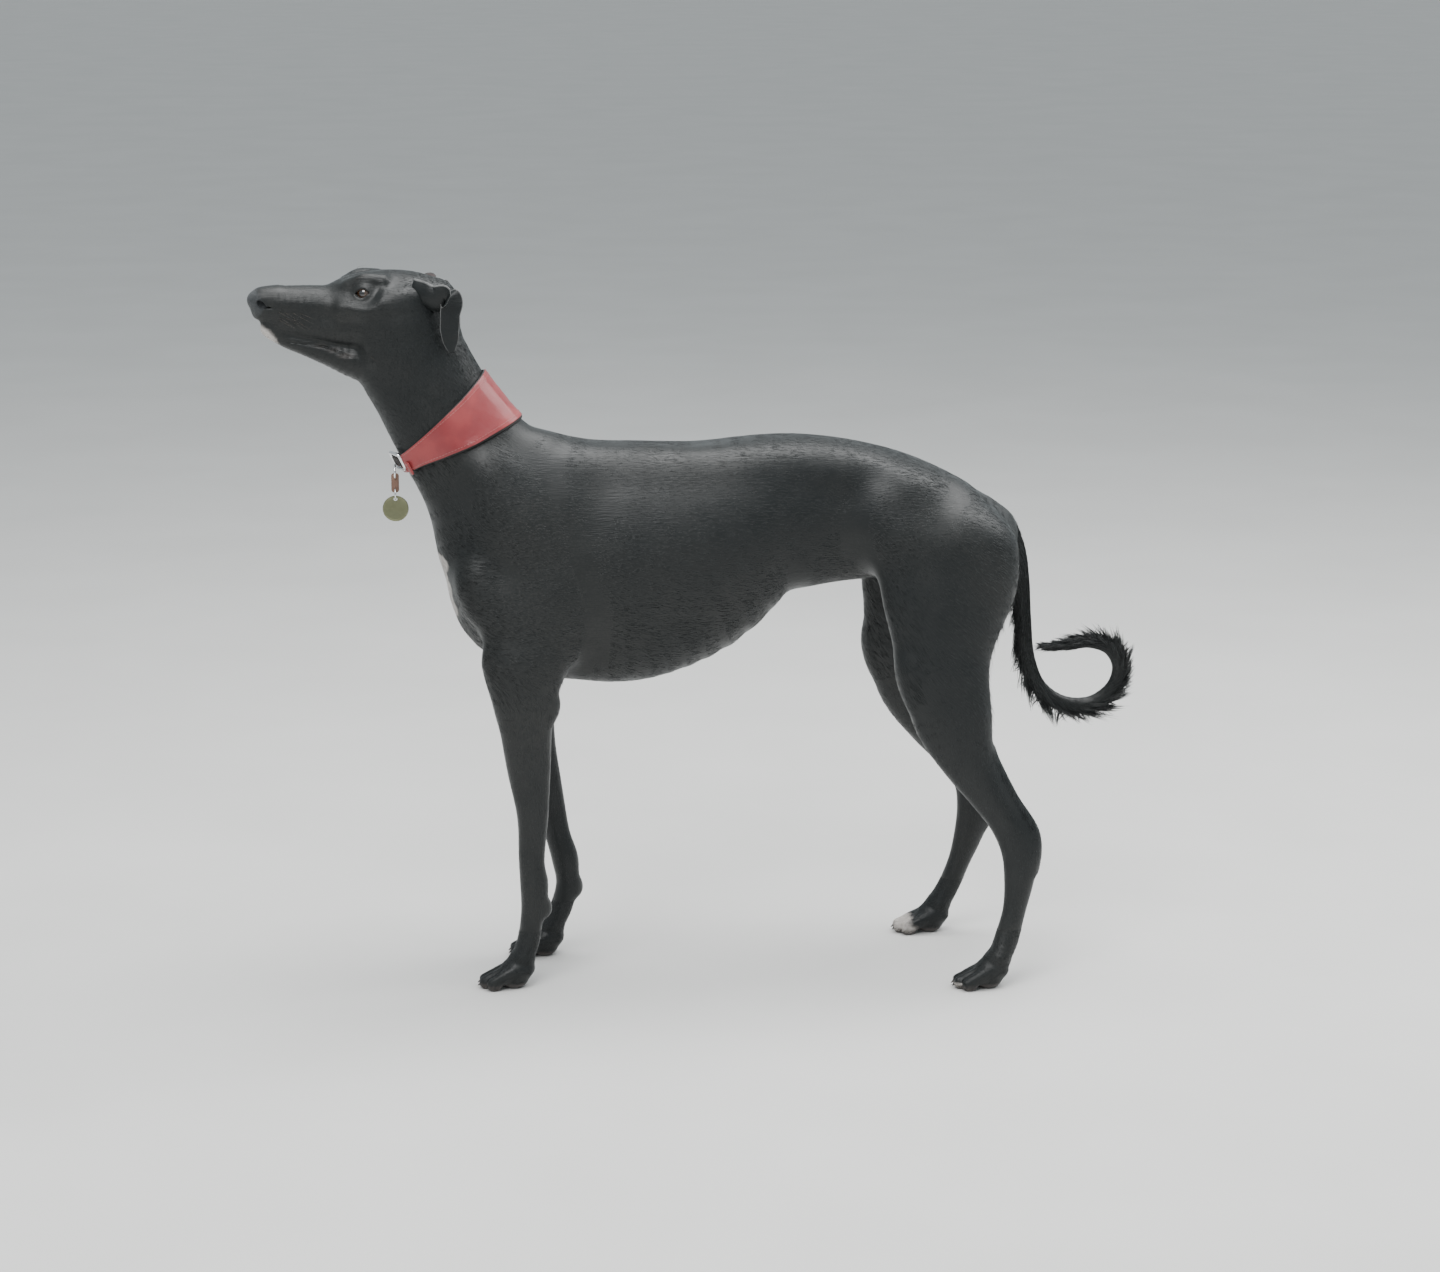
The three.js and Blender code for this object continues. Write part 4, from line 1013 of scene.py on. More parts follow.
class Nodes:
    """A short way to write a node tree."""

    def __init__(self, tree: NodeTree) -> None:
        """Args:
            tree: the tree to fill.
        """
        self.tree = tree

    def add(self, kind: str, inputs: dict | None = None, **properties) -> Node:
        """Adds a node.

        Args:
            kind: its type.
            inputs: values or sockets by input name or number.
            properties: its settings.

        Returns:
            The node.
        """
        node = self.tree.nodes.new(kind)
        for key, value in properties.items():
            setattr(node, key, value)
        self.fill(node, inputs or {})
        return node

    def fill(self, node: Node, inputs: dict) -> None:
        """Gives a node its inputs.

        Args:
            node: the node.
            inputs: values or sockets by input name or number.
        """
        for key, value in inputs.items():
            if isinstance(value, NodeSocket):
                self.tree.links.new(value, node.inputs[key])
            else:
                node.inputs[key].default_value = value

    def link(self, source: NodeSocket, target: NodeSocket) -> None:
        """Joins two sockets.

        Args:
            source: an output.
            target: an input.
        """
        self.tree.links.new(source, target)

    def here(self) -> NodeSocket:
        """Adds the surface's place in the part's frame.

        Returns:
            Its output.
        """
        return self.add("ShaderNodeTexCoord").outputs["Object"]

    def math(self, operation: str, *values) -> NodeSocket:
        """Adds a Math node.

        Args:
            operation: what it does.
            values: numbers or sockets.

        Returns:
            Its output.
        """
        return self.add("ShaderNodeMath", dict(enumerate(values)), operation=operation).outputs[0]

    def vector(self, operation: str, *values) -> Node:
        """Adds a Vector Math node.

        Args:
            operation: what it does.
            values: vectors or sockets.

        Returns:
            The node.
        """
        return self.add("ShaderNodeVectorMath", dict(enumerate(values)), operation=operation)

    def widest(self, masks: Iterable[NodeSocket]) -> NodeSocket:
        """The most of several masks.

        Args:
            masks: the masks.

        Returns:
            The output.
        """
        return reduce(lambda a, b: self.math("MAXIMUM", a, b), masks)

    def ramp(self, value: NodeSocket, low: float, high: float, a: float = 0, b: float = 1) -> NodeSocket:
        """Maps a range smoothly.

        Args:
            value: the input.
            low, high: its range.
            a, b: the results at each end.

        Returns:
            The output.
        """
        node = self.add("ShaderNodeMapRange", {"Value": value, "From Min": low, "From Max": high,
                                               "To Min": a, "To Max": b}, interpolation_type="SMOOTHSTEP")
        return node.outputs[0]

    def mix(self, share, a, b) -> NodeSocket:
        """Mixes two colours.

        Args:
            share: number or socket.
            a, b: colours or sockets.

        Returns:
            The colour.
        """
        node = self.add("ShaderNodeMix", data_type="RGBA")
        self.fill(node, {0: share, 6: a, 7: b})
        return node.outputs[2]

    def noise(self, at: NodeSocket, scale: float, detail: float = 3,
              stretch: Sequence[float] | None = None) -> NodeSocket:
        """Noise over a surface.

        Args:
            at: coordinates.
            scale: features a metre.
            detail: octaves.
            stretch: a scale for each axis.

        Returns:
            The value.
        """
        if stretch:
            at = self.add("ShaderNodeMapping", {"Vector": at, "Scale": stretch}).outputs[0]
        node = self.add("ShaderNodeTexNoise", {"Vector": at, "Scale": scale, "Detail": detail})
        return node.outputs[0]


def new_group(name: str, inputs: dict[str, float], outputs: Iterable[str]) -> tuple[Nodes, dict, dict]:
    """Starts a shader node group whose sockets are all numbers.

    Args:
        name: its name.
        inputs: inputs and their values.
        outputs: names of the outputs.

    Returns:
        The nodes, the input sockets and the output sockets by name.
    """
    tree = bpy.data.node_groups.new(name, "ShaderNodeTree")
    for label, value in inputs.items():
        socket = tree.interface.new_socket(label, in_out="INPUT", socket_type="NodeSocketFloat")
        socket.default_value = value
    for label in outputs:
        tree.interface.new_socket(label, in_out="OUTPUT", socket_type="NodeSocketFloat")
    nodes = Nodes(tree)
    start, end = tree.nodes.new("NodeGroupInput"), tree.nodes.new("NodeGroupOutput")
    return nodes, {s.name: s for s in start.outputs if s.name}, {s.name: s for s in end.inputs if s.name}


def use_group(nodes: Nodes, name: str, **inputs) -> Node:
    """Places a group in a material.

    Args:
        nodes: the material's nodes.
        name: the group's name.
        inputs: values by input name.

    Returns:
        The group's node.
    """
    return nodes.add("ShaderNodeGroup", inputs, node_tree=bpy.data.node_groups[name])


def spot(nodes: Nodes, at: NodeSocket, middle: Array, radii: Sequence[float], edge: float = 0.25,
         ) -> NodeSocket:
    """A soft egg-shaped mask.

    Args:
        nodes: the tree.
        at: coordinates in metres.
        middle: the middle in the dog's millimetres.
        radii: half axes in millimetres.
        edge: softness, as a share of the size.

    Returns:
        1 inside and 0 outside.
    """
    placed = nodes.vector("SUBTRACT", at, tuple(to_frame(np.asarray(middle, float))))
    scaled = nodes.vector("DIVIDE", placed.outputs[0], tuple(np.asarray(radii, float) * MM))
    size = nodes.vector("LENGTH", scaled.outputs[0])
    return nodes.ramp(size.outputs["Value"], 1 - edge, 1 + edge, 1, 0)


FAR_HIND, NEAR_HIND = PAWS[3], PAWS[2]
# White patches as (middle, half axes): the breast, the chin and the hind toes
WHITES = [
    ((-349, -6, 539), (19, 30, 13)), ((-343, -4, 523), (14, 21, 15)), ((-337, -6, 509), (11, 26, 15)),
    ((-333, -8, 497), (11, 19, 15)), ((-329, -6, 486), (10, 24, 16)), (in_head(133, 0, -62), (22, 18, 22)),
    ((FAR_HIND.heel[0] - 44, FAR_HIND.heel[1], 8), (20, 24, 15)),
    ((NEAR_HIND.heel[0] - 50, NEAR_HIND.heel[1] - 4, 4), (10, 12, 6)),
]
NOSE_TIP, NOSE_RADII = (137, 0, -14), (15, 19, 17)
MOUTH_CORNER = [(62, 25, -66), (47, 27, -71), (33, 29, -78)]
PAD_HEIGHTS = (0.004, 0.010)


def markings_group() -> None:
    """Makes the masks of the white patches, the nose, the lips' corners and the pads."""
    nodes, inputs, outputs = new_group("Markings", {"Ragged": 0.004}, ("White", "Nose", "Lip", "Pad"))
    at = nodes.here()
    rough = nodes.add("ShaderNodeTexNoise", {"Vector": at, "Scale": 190.0, "Detail": 3.0})
    push = nodes.vector("SUBTRACT", rough.outputs["Color"], (0.5, 0.5, 0.5))
    scaled = nodes.vector("SCALE", push.outputs[0])
    nodes.link(inputs["Ragged"], scaled.inputs["Scale"])
    moved = nodes.vector("ADD", at, scaled.outputs[0]).outputs[0]
    white = nodes.widest([spot(nodes, moved, middle, radii, 0.16) for middle, radii in WHITES])
    nodes.link(white, outputs["White"])
    nodes.link(spot(nodes, at, in_head(*NOSE_TIP), NOSE_RADII, 0.12), outputs["Nose"])
    lips = [spot(nodes, at, in_head(f, s * o, u), (11, 9, 4.5), 0.5)
            for s in (-1, 1) for f, o, u in MOUTH_CORNER]
    nodes.link(nodes.widest(lips), outputs["Lip"])
    height = nodes.add("ShaderNodeSeparateXYZ", {0: at}).outputs["Z"]
    nodes.link(nodes.ramp(height, *PAD_HEIGHTS, 1, 0), outputs["Pad"])


def leather_group() -> None:
    """Makes the grain, the folds and the worn places of leather."""
    nodes, inputs, outputs = new_group("Leather grain", {"Scale": 900.0, "Depth": 0.3}, ("Height", "Wear"))
    at = nodes.here()
    cells = nodes.add("ShaderNodeTexVoronoi", {"Vector": at}, feature="DISTANCE_TO_EDGE")
    nodes.link(inputs["Scale"], cells.inputs["Scale"])
    folds = nodes.noise(at, 55.0, 5)
    lines = nodes.ramp(cells.outputs["Distance"], 0.0, 0.12)
    grain, creases = nodes.math("MULTIPLY", lines, inputs["Depth"]), nodes.math("MULTIPLY", folds, 1.4)
    nodes.link(nodes.math("ADD", grain, creases), outputs["Height"])
    nodes.link(nodes.ramp(nodes.noise(at, 24.0, 6), 0.42, 0.68), outputs["Wear"])


def metal_group() -> None:
    """Makes the scratches and dull clouds of metal."""
    nodes, inputs, outputs = new_group("Metal wear", {"Scale": 300.0}, ("Scratch", "Cloud"))
    at = nodes.here()
    turned = {"Vector": at, "Rotation": (0.4, 0.7, 0.2), "Scale": (1.0, 9.0, 5.0)}
    lines = nodes.add("ShaderNodeMapping", turned)
    fine = nodes.add("ShaderNodeTexNoise", {"Vector": lines.outputs[0], "Detail": 6.0})
    nodes.link(inputs["Scale"], fine.inputs["Scale"])
    nodes.link(fine.outputs[0], outputs["Scratch"])
    nodes.link(nodes.noise(at, 60.0, 4), outputs["Cloud"])


@dataclass(frozen=True)
class Look:
    """The plain values of a finish."""

    name: str
    base: tuple[float, float, float]
    roughness: float
    metallic: float = 0.0
    specular: float = 0.5
    coat: float = 0.0
    sheen: float = 0.0


def new_material(look: Look) -> tuple[Material, Nodes, Node]:
    """A material with its shader set from a look.

    Args:
        look: the values.

    Returns:
        The material, its nodes and its shader.
    """
    material = bpy.data.materials.new(look.name)
    material.use_nodes = True
    nodes = Nodes(material.node_tree)
    shader = next(n for n in material.node_tree.nodes if n.type == "BSDF_PRINCIPLED")
    shader.inputs["Base Color"].default_value = (*look.base, 1)
    shader.inputs["Roughness"].default_value = look.roughness
    shader.inputs["Metallic"].default_value = look.metallic
    shader.inputs["Specular IOR Level"].default_value = look.specular
    shader.inputs["Coat Weight"].default_value = look.coat
    shader.inputs["Coat Roughness"].default_value = 0.12
    shader.inputs["Sheen Weight"].default_value = look.sheen
    shader.inputs["Sheen Roughness"].default_value = 0.35
    shader.inputs["Sheen Tint"].default_value = (0.55, 0.61, 0.62, 1)
    return material, nodes, shader


def bump(nodes: Nodes, shader: Node, height: NodeSocket, distance: float,
         strength: float = 1.0) -> None:
    """Lays a bump on a shader.

    Args:
        nodes: the tree.
        shader: the shader.
        height: the height.
        distance: metres for a height of one.
        strength: how much of it shows.
    """
    node = nodes.add("ShaderNodeBump", {"Height": height, "Distance": distance, "Strength": strength})
    nodes.link(node.outputs[0], shader.inputs["Normal"])


BLACK = (0.0050, 0.0064, 0.0066, 1)
BROWN = (0.015, 0.0155, 0.0145, 1)
WHITE = (0.52, 0.49, 0.46, 1)
# The nose leather's own dark grey, painted lighter to stand in for the sheen on it
NOSE_GREY_AND_SHEEN = (0.036, 0.039, 0.041, 1)
LIP_TAN = (0.07, 0.060, 0.055, 1)
PAD_GREY = (0.05, 0.043, 0.04, 1)


def skin_material(name: str, hair: bool) -> Material:
    """The coat, as skin with short flat hair or as tufts.

    Args:
        name: its name.
        hair: for the tufts.

    Returns:
        The material.
    """
    material, nodes, shader = new_material(Look(name, BLACK[:3], 0.42, specular=0.33, sheen=0.11))
    at = nodes.here()
    marks = use_group(nodes, "Markings", Ragged=0.006)
    cloud = nodes.ramp(nodes.noise(at, 7.0, 4), 0.35, 0.7)
    fine = nodes.noise(at, 420.0)
    brown = nodes.math("MULTIPLY", cloud, nodes.ramp(fine, 0.3, 0.75, 0.25, 1.0))
    colour = nodes.mix(brown, BLACK, BROWN)
    colour = nodes.mix(nodes.math("MULTIPLY", marks.outputs["Lip"], 0.5), colour, LIP_TAN)
    white = nodes.mix(nodes.noise(at, 300.0, 4), (0.3, 0.27, 0.25, 1), WHITE)
    colour = nodes.mix(marks.outputs["White"], colour, white)
    if not hair:
        # The nose in its own dark grey, lightened as a painted sheen
        colour = nodes.mix(marks.outputs["Nose"], colour, NOSE_GREY_AND_SHEEN)
        colour = nodes.mix(marks.outputs["Pad"], colour, PAD_GREY)
    nodes.link(colour, shader.inputs["Base Color"])
    gloss = nodes.ramp(nodes.noise(at, 34.0, 5), 0.3, 0.75, 0.36, 0.52)
    if not hair:
        gloss = nodes.math("SUBTRACT", gloss, nodes.math("MULTIPLY", marks.outputs["Nose"], 0.13))
    nodes.link(gloss, shader.inputs["Roughness"])
    if hair:
        return material
    turned = nodes.add("ShaderNodeMapping", {"Vector": at, "Rotation": (0, math.radians(-45), 0)}).outputs[0]
    lower = nodes.ramp(nodes.add("ShaderNodeSeparateXYZ", {0: at}).outputs["Z"], 0.36, 0.46, 1, 0)
    neck = nodes.math("MAXIMUM", spot(nodes, at, (-335, 0, 700), (95, 140, 120), 0.3),
                      spot(nodes, at, (275, 0, 460), (105, 260, 130), 0.3))

    def flowing(long: float, fine: float) -> NodeSocket:
        back = nodes.noise(at, 1.0, 1, (long, fine, fine))
        down = nodes.noise(at, 1.0, 1, (fine, fine, long))
        slanting = nodes.noise(turned, 1.0, 1, (long, fine, fine))
        flow = nodes.math("ADD", nodes.math("MULTIPLY", back, nodes.math("SUBTRACT", 1.0, lower)),
                          nodes.math("MULTIPLY", down, lower))
        return nodes.math("ADD", nodes.math("MULTIPLY", flow, nodes.math("SUBTRACT", 1.0, neck)),
                          nodes.math("MULTIPLY", slanting, neck))

    streak, wide = flowing(45.0, 950.0), flowing(25.0, 330.0)
    pebble = nodes.add("ShaderNodeTexVoronoi", {"Vector": at, "Scale": 1100.0}, feature="DISTANCE_TO_EDGE")
    pebbles = nodes.math("MULTIPLY", nodes.ramp(pebble.outputs["Distance"], 0, 0.2), marks.outputs["Nose"])
    coat = nodes.math("ADD", streak, nodes.math("MULTIPLY", wide, 0.8))
    calm = nodes.math("SUBTRACT", 1.0, marks.outputs["Nose"])
    height = nodes.math("ADD", nodes.math("MULTIPLY", coat, calm), nodes.math("MULTIPLY", pebbles, 1.5))
    bump(nodes, shader, height, 0.0004, 0.7)
    return material


def leather(name: str, base: tuple[float, ...], worn: tuple[float, ...], roughness: float, scale: float,
            coat: float) -> Material:
    """Leather with a fine grain, creases and worn places.

    Args:
        name: its name.
        base: its colour.
        worn: the colour of worn places.
        roughness: its roughness.
        scale: grains a metre.
        coat: how much it is polished.

    Returns:
        The material.
    """
    material, nodes, shader = new_material(Look(name, base[:3], roughness, specular=0.5, coat=coat))
    grain = use_group(nodes, "Leather grain", Scale=scale, Depth=0.35)
    nodes.link(nodes.mix(grain.outputs["Wear"], base, worn), shader.inputs["Base Color"])
    rough = nodes.ramp(grain.outputs["Wear"], 0, 1, roughness, roughness + 0.16)
    nodes.link(rough, shader.inputs["Roughness"])
    bump(nodes, shader, grain.outputs["Height"], 0.0007, 0.6)
    return material


def metal(name: str, base: tuple[float, ...], dull: tuple[float, ...], roughness: float) -> Material:
    """Polished metal with faint scratches.

    Args:
        name: its name.
        base: its colour.
        dull: the colour of dull places.
        roughness: its roughness.

    Returns:
        The material.
    """
    material, nodes, shader = new_material(Look(name, base[:3], roughness, metallic=1.0))
    wear = use_group(nodes, "Metal wear", Scale=260.0)
    share = nodes.ramp(wear.outputs["Cloud"], 0.4, 0.7)
    nodes.link(nodes.mix(share, base, dull), shader.inputs["Base Color"])
    nodes.link(nodes.ramp(share, 0, 1, roughness, roughness + 0.15), shader.inputs["Roughness"])
    bump(nodes, shader, wear.outputs["Scratch"], 0.0002, 0.25)
    return material


def ear_lining(name: str, dark: tuple[float, ...], pale: tuple[float, ...]) -> Material:
    """The thinly haired skin inside an ear, or the lighter grey strip along its edge.

    Args:
        name: its name.
        dark, pale: its colours.

    Returns:
        The material.
    """
    material, nodes, shader = new_material(Look(name, pale[:3], 0.55, sheen=0.2))
    at = nodes.here()
    share = nodes.ramp(nodes.noise(at, 90.0, 4), 0.3, 0.7)
    nodes.link(nodes.mix(share, dark, pale), shader.inputs["Base Color"])
    bump(nodes, shader, nodes.noise(at, 600.0, 3), 0.0004, 0.6)
    return material


def eye_material() -> Material:
    """A dark brown eye with a black pupil under a wet, clear front.

    Returns:
        The material.
    """
    material, nodes, shader = new_material(Look("eye", (0.02, 0.011, 0.007), 0.06, specular=0.7, coat=1.0))
    shader.inputs["Coat Roughness"].default_value = 0.02
    at = nodes.here()
    fronts = [middle + gaze * EYE_RADIUS for middle, _, _, gaze in map(eye_axes, (-1, 1))]
    pupil = nodes.widest([spot(nodes, at, front, (3.6,) * 3, 0.15) for front in fronts])
    iris = nodes.widest([spot(nodes, at, front, (7.6,) * 3, 0.1) for front in fronts])
    fibres = nodes.noise(at, 900.0, 4)
    brown = nodes.mix(fibres, (0.022, 0.010, 0.005, 1), (0.06, 0.03, 0.015, 1))
    colour = nodes.mix(iris, (0.05, 0.04, 0.038, 1), brown)
    colour = nodes.mix(pupil, colour, (0.002, 0.002, 0.003, 1))
    nodes.link(colour, shader.inputs["Base Color"])
    return material


def horn_material() -> Material:
    """Dark horn of the claws.

    Returns:
        The material.
    """
    material, nodes, shader = new_material(Look("horn", (0.02, 0.017, 0.015), 0.34, specular=0.5))
    at = nodes.here()
    share = nodes.ramp(nodes.noise(at, 260.0, 4, (0.3, 1.0, 1.0)), 0.35, 0.7)
    nodes.link(nodes.mix(share, (0.012, 0.010, 0.009, 1), (0.07, 0.055, 0.045, 1)),
                         shader.inputs["Base Color"])
    bump(nodes, shader, share, 0.0002, 0.5)
    return material


# Pieces


class Kit:
    """Keeps the finished materials and places each piece in the frame."""

    def __init__(self) -> None:
        """Builds the shader groups and the materials."""
        for make_group in (markings_group, leather_group, metal_group):
            make_group()
        self.skin = skin_material("short_coat", False)
        self.hair = skin_material("coat_hair", True)
        self.ear_lining = ear_lining("ear_lining", (0.035, 0.028, 0.028, 1), (0.11, 0.085, 0.083, 1))
        # Lighter grey along the ear's edge
        self.ear_rim = ear_lining("ear_rim", (0.05, 0.05, 0.05, 1), (0.10, 0.10, 0.098, 1))
        self.red = leather("red_leather", (0.19, 0.013, 0.016, 1), (0.27, 0.030, 0.031, 1), 0.36, 800.0, 0.3)
        self.lining = leather("black_lining", (0.01, 0.009, 0.009, 1), (0.03, 0.026, 0.024, 1), 0.6, 900.0, 0)
        self.tan = leather("tan_leather", (0.13, 0.065, 0.042, 1), (0.24, 0.14, 0.095, 1), 0.5, 700.0, 0.05)
        # Real stitch thread, coloured pale pink as a painted highlight along the collar's glossy edges
        self.thread = leather("thread", (0.30, 0.10, 0.095, 1), (0.38, 0.16, 0.15, 1), 0.6, 2500.0, 0.0)
        self.steel = metal("steel", (0.80, 0.81, 0.82, 1), (0.6, 0.61, 0.62, 1), 0.16)
        # The tag's metal, tinted olive green as a painted reflection of grass
        self.tag = metal("tag_metal", (0.20, 0.205, 0.125, 1), (0.165, 0.168, 0.10, 1), 0.34)
        self.eye = eye_material()
        self.horn = horn_material()

    @staticmethod
    def place(piece: Object, finish: Finish, *nodes: str) -> Object:
        """Puts a piece in the frame.

        Args:
            piece: the finished piece.
            finish: the record's slot; not used.
            nodes: the CAD nodes that it stands for.

        Returns:
            The piece.
        """
        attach(piece, "root")
        if nodes:
            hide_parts(*nodes)
        return piece

    def solid(self, name: str, shape: Shape, material: Material, finish: Finish, *nodes: str) -> Object:
        """Adds a closed piece with its faces outwards and puts it in the frame.

        Args:
            name: its name.
            shape: vertices in millimetres and faces.
            material: its finish.
            finish: the record's slot.
            nodes: the CAD nodes that it stands for.

        Returns:
            The piece.
        """
        piece = add_mesh(name, to_frame(shape[0]), shape[1], material)
        fix_normals(piece)
        return self.place(piece, finish, *nodes)


@dataclass
class TuftLayer:
    """Sizes of a layer of tufts, in metres."""

    name: str
    count: int
    length: float
    width: float
    height: float
    seed: int
    spread: float = 0.16


def tuft_mesh(material: Material) -> Object:
    """One tuft, a three-sided lock one unit long that lies along X with its root sunk.

    Args:
        material: its finish.

    Returns:
        A hidden object for the node tree.
    """
    rings = [(-0.08, 0.75, -0.7, 0.3), (0.45, 1.0, 0.3, 0.35)]
    vertices = []
    for x, wide, height, thick in rings:
        vertices += [(x, -0.5 * wide, height), (x, 0.5 * wide, height), (x, 0, height + thick)]
    vertices.append((1.0, 0, 0.75))
    faces = [(0, 1, 4, 3), (1, 2, 5, 4), (2, 0, 3, 5), (3, 4, 6), (4, 5, 6), (5, 3, 6)]
    mesh = bpy.data.meshes.new("tuft_shape")
    mesh.from_pydata(vertices, [], faces)
    mesh.materials.append(material)
    mesh.polygons.foreach_set("use_smooth", [True] * len(faces))
    return bpy.data.objects.new("tuft_shape", mesh)


TUFT_VERTICES = 7


class Scatter(Nodes):
    """A geometry node tree that lays copies of a shape on points."""

    def __init__(self, name: str, inputs: dict[str, str]) -> None:
        """Args:
            name: its name.
            inputs: kinds of its inputs by name, besides the geometry.
        """
        super().__init__(bpy.data.node_groups.new(name, "GeometryNodeTree"))
        face = self.tree.interface
        for label, kind in {"Geometry": "Geometry", **inputs}.items():
            face.new_socket(label, in_out="INPUT", socket_type=f"NodeSocket{kind}")
        face.new_socket("Geometry", in_out="OUTPUT", socket_type="NodeSocketGeometry")
        self.given = self.tree.nodes.new("NodeGroupInput").outputs
        self.end = self.tree.nodes.new("NodeGroupOutput")

    def lay(self, points: Node, shape: NodeSocket, turn: Node,
            scale: Node) -> NodeTree:
        """Puts the shape on each point, in the given material, and ends the tree.

        Args:
            points: makes the points.
            shape: the shape.
            turn: makes the rotation.
            scale: makes the scale.

        Returns:
            The tree.
        """
        spread = self.add("GeometryNodeInstanceOnPoints", {
            "Points": points.outputs["Points"], "Instance": shape, "Rotation": turn.outputs[0],
            "Scale": scale.outputs[0]})
        real = self.add("GeometryNodeRealizeInstances", {"Geometry": spread.outputs[0]})
        finish = self.add("GeometryNodeSetMaterial", {"Geometry": real.outputs[0],
                                                      "Material": self.given["Material"]})
        self.link(finish.outputs[0], self.end.inputs["Geometry"])
        return self.tree


def tuft_tree() -> NodeTree:
    """Geometry nodes that scatter tufts over a skin, along its lie.

    Returns:
        The tree, with named inputs for its sizes.
    """
    nodes = Scatter("Tufts", {
        "Shape": "Object", "Material": "Material", "Density": "Float", "Length": "Float", "Width": "Float",
        "Height": "Float", "Spread": "Float", "Seed": "Int"})
    given = nodes.given
    grown, lie = (nodes.add("GeometryNodeInputNamedAttribute", {"Name": name}, data_type=kind).outputs[0]
                  for name, kind in (("growth", "FLOAT"), ("lie", "FLOAT_VECTOR")))
    density = nodes.math("MULTIPLY", given["Density"], nodes.math("GREATER_THAN", grown, 0.02))
    points = nodes.add("GeometryNodeDistributePointsOnFaces",
                       {"Mesh": given["Geometry"], "Density": density, "Seed": given["Seed"]})
    stray = nodes.add("FunctionNodeRandomValue", {"Min": (-1.0, -1.0, -1.0), "Max": (1.0, 1.0, 1.0),
                                                  "Seed": given["Seed"]}, data_type="FLOAT_VECTOR")
    push = nodes.vector("SCALE", stray.outputs[0])
    nodes.link(given["Spread"], push.inputs["Scale"])
    way = nodes.vector("ADD", lie, push.outputs[0])
    upright = nodes.add("FunctionNodeAlignRotationToVector", {"Vector": points.outputs["Normal"]}, axis="Z")
    turned = nodes.add("FunctionNodeAlignRotationToVector", {
        "Rotation": upright.outputs[0], "Vector": way.outputs[0]}, axis="X", pivot_axis="Z")
    size = nodes.add("FunctionNodeRandomValue", {"Min": 0.7, "Max": 1.25, "Seed": given["Seed"]},
                     data_type="FLOAT")
    amount = nodes.math("MULTIPLY", size.outputs[1], grown)
    scale = nodes.add("ShaderNodeCombineXYZ", {
        "X": nodes.math("MULTIPLY", given["Length"], amount),
        "Y": nodes.math("MULTIPLY", given["Width"], nodes.math("POWER", amount, 0.5)),
        "Z": nodes.math("MULTIPLY", given["Height"], nodes.math("POWER", amount, 0.5))})
    shape = nodes.add("GeometryNodeObjectInfo", {"Object": given["Shape"]})
    return nodes.lay(points, shape.outputs["Geometry"], turned, scale)


def run_tree(name: str, carrier: Object, tree: NodeTree, inputs: dict) -> Object:
    """Runs a node tree on an object and keeps the result as a plain mesh.

    Args:
        name: the result's name.
        carrier: the object that carries the modifier.
        tree: the tree.
        inputs: values by input name.

    Returns:
        The new object, with no modifier left on the carrier.
    """
    modifier = carrier.modifiers.new(tree.name, "NODES")
    modifier.node_group = tree
    for item in tree.interface.items_tree:
        if item.item_type == "SOCKET" and item.in_out == "INPUT" and item.name in inputs:
            modifier[item.identifier] = inputs[item.name]
    evaluated = carrier.evaluated_get(bpy.context.evaluated_depsgraph_get())
    mesh = bpy.data.meshes.new_from_object(evaluated)
    mesh.name = name
    piece = bpy.data.objects.new(name, mesh)
    bpy.context.scene.collection.objects.link(piece)
    carrier.modifiers.remove(modifier)
    log.info("%s: %d faces", name, len(piece.data.polygons))
    return piece


def trunk_share(p: Array) -> Array:
    """How much the trunk's form is evened out: not the legs nor the root of the tail.

    Args:
        p: points on the skin.

    Returns:
        0 to 1 at each.
    """
    return np.clip((p[:, 2] - 400) / 60, 0, 1) * np.clip((330 - p[:, 0]) / 30, 0, 1)


# Middles of the evened places, in the head's own axes, and their reach
LIP_FRONT_AT, STOP_AT, EVENED_REACH = (117, 0, -53), (48, 20, 2), 24


def face_share(p: Array) -> Array:
    """How much the head's form is evened out: the front of the lips and the stop before the eyes.

    Args:
        p: points on the skin.

    Returns:
        0 to 1 at each.
    """
    h = to_head(p)
    h[:, 1] = np.abs(h[:, 1])
    far = np.minimum(*(np.linalg.norm(h - at, axis=1) for at in (LIP_FRONT_AT, STOP_AT)))
    return np.clip((EVENED_REACH - far) / 8, 0, 1)


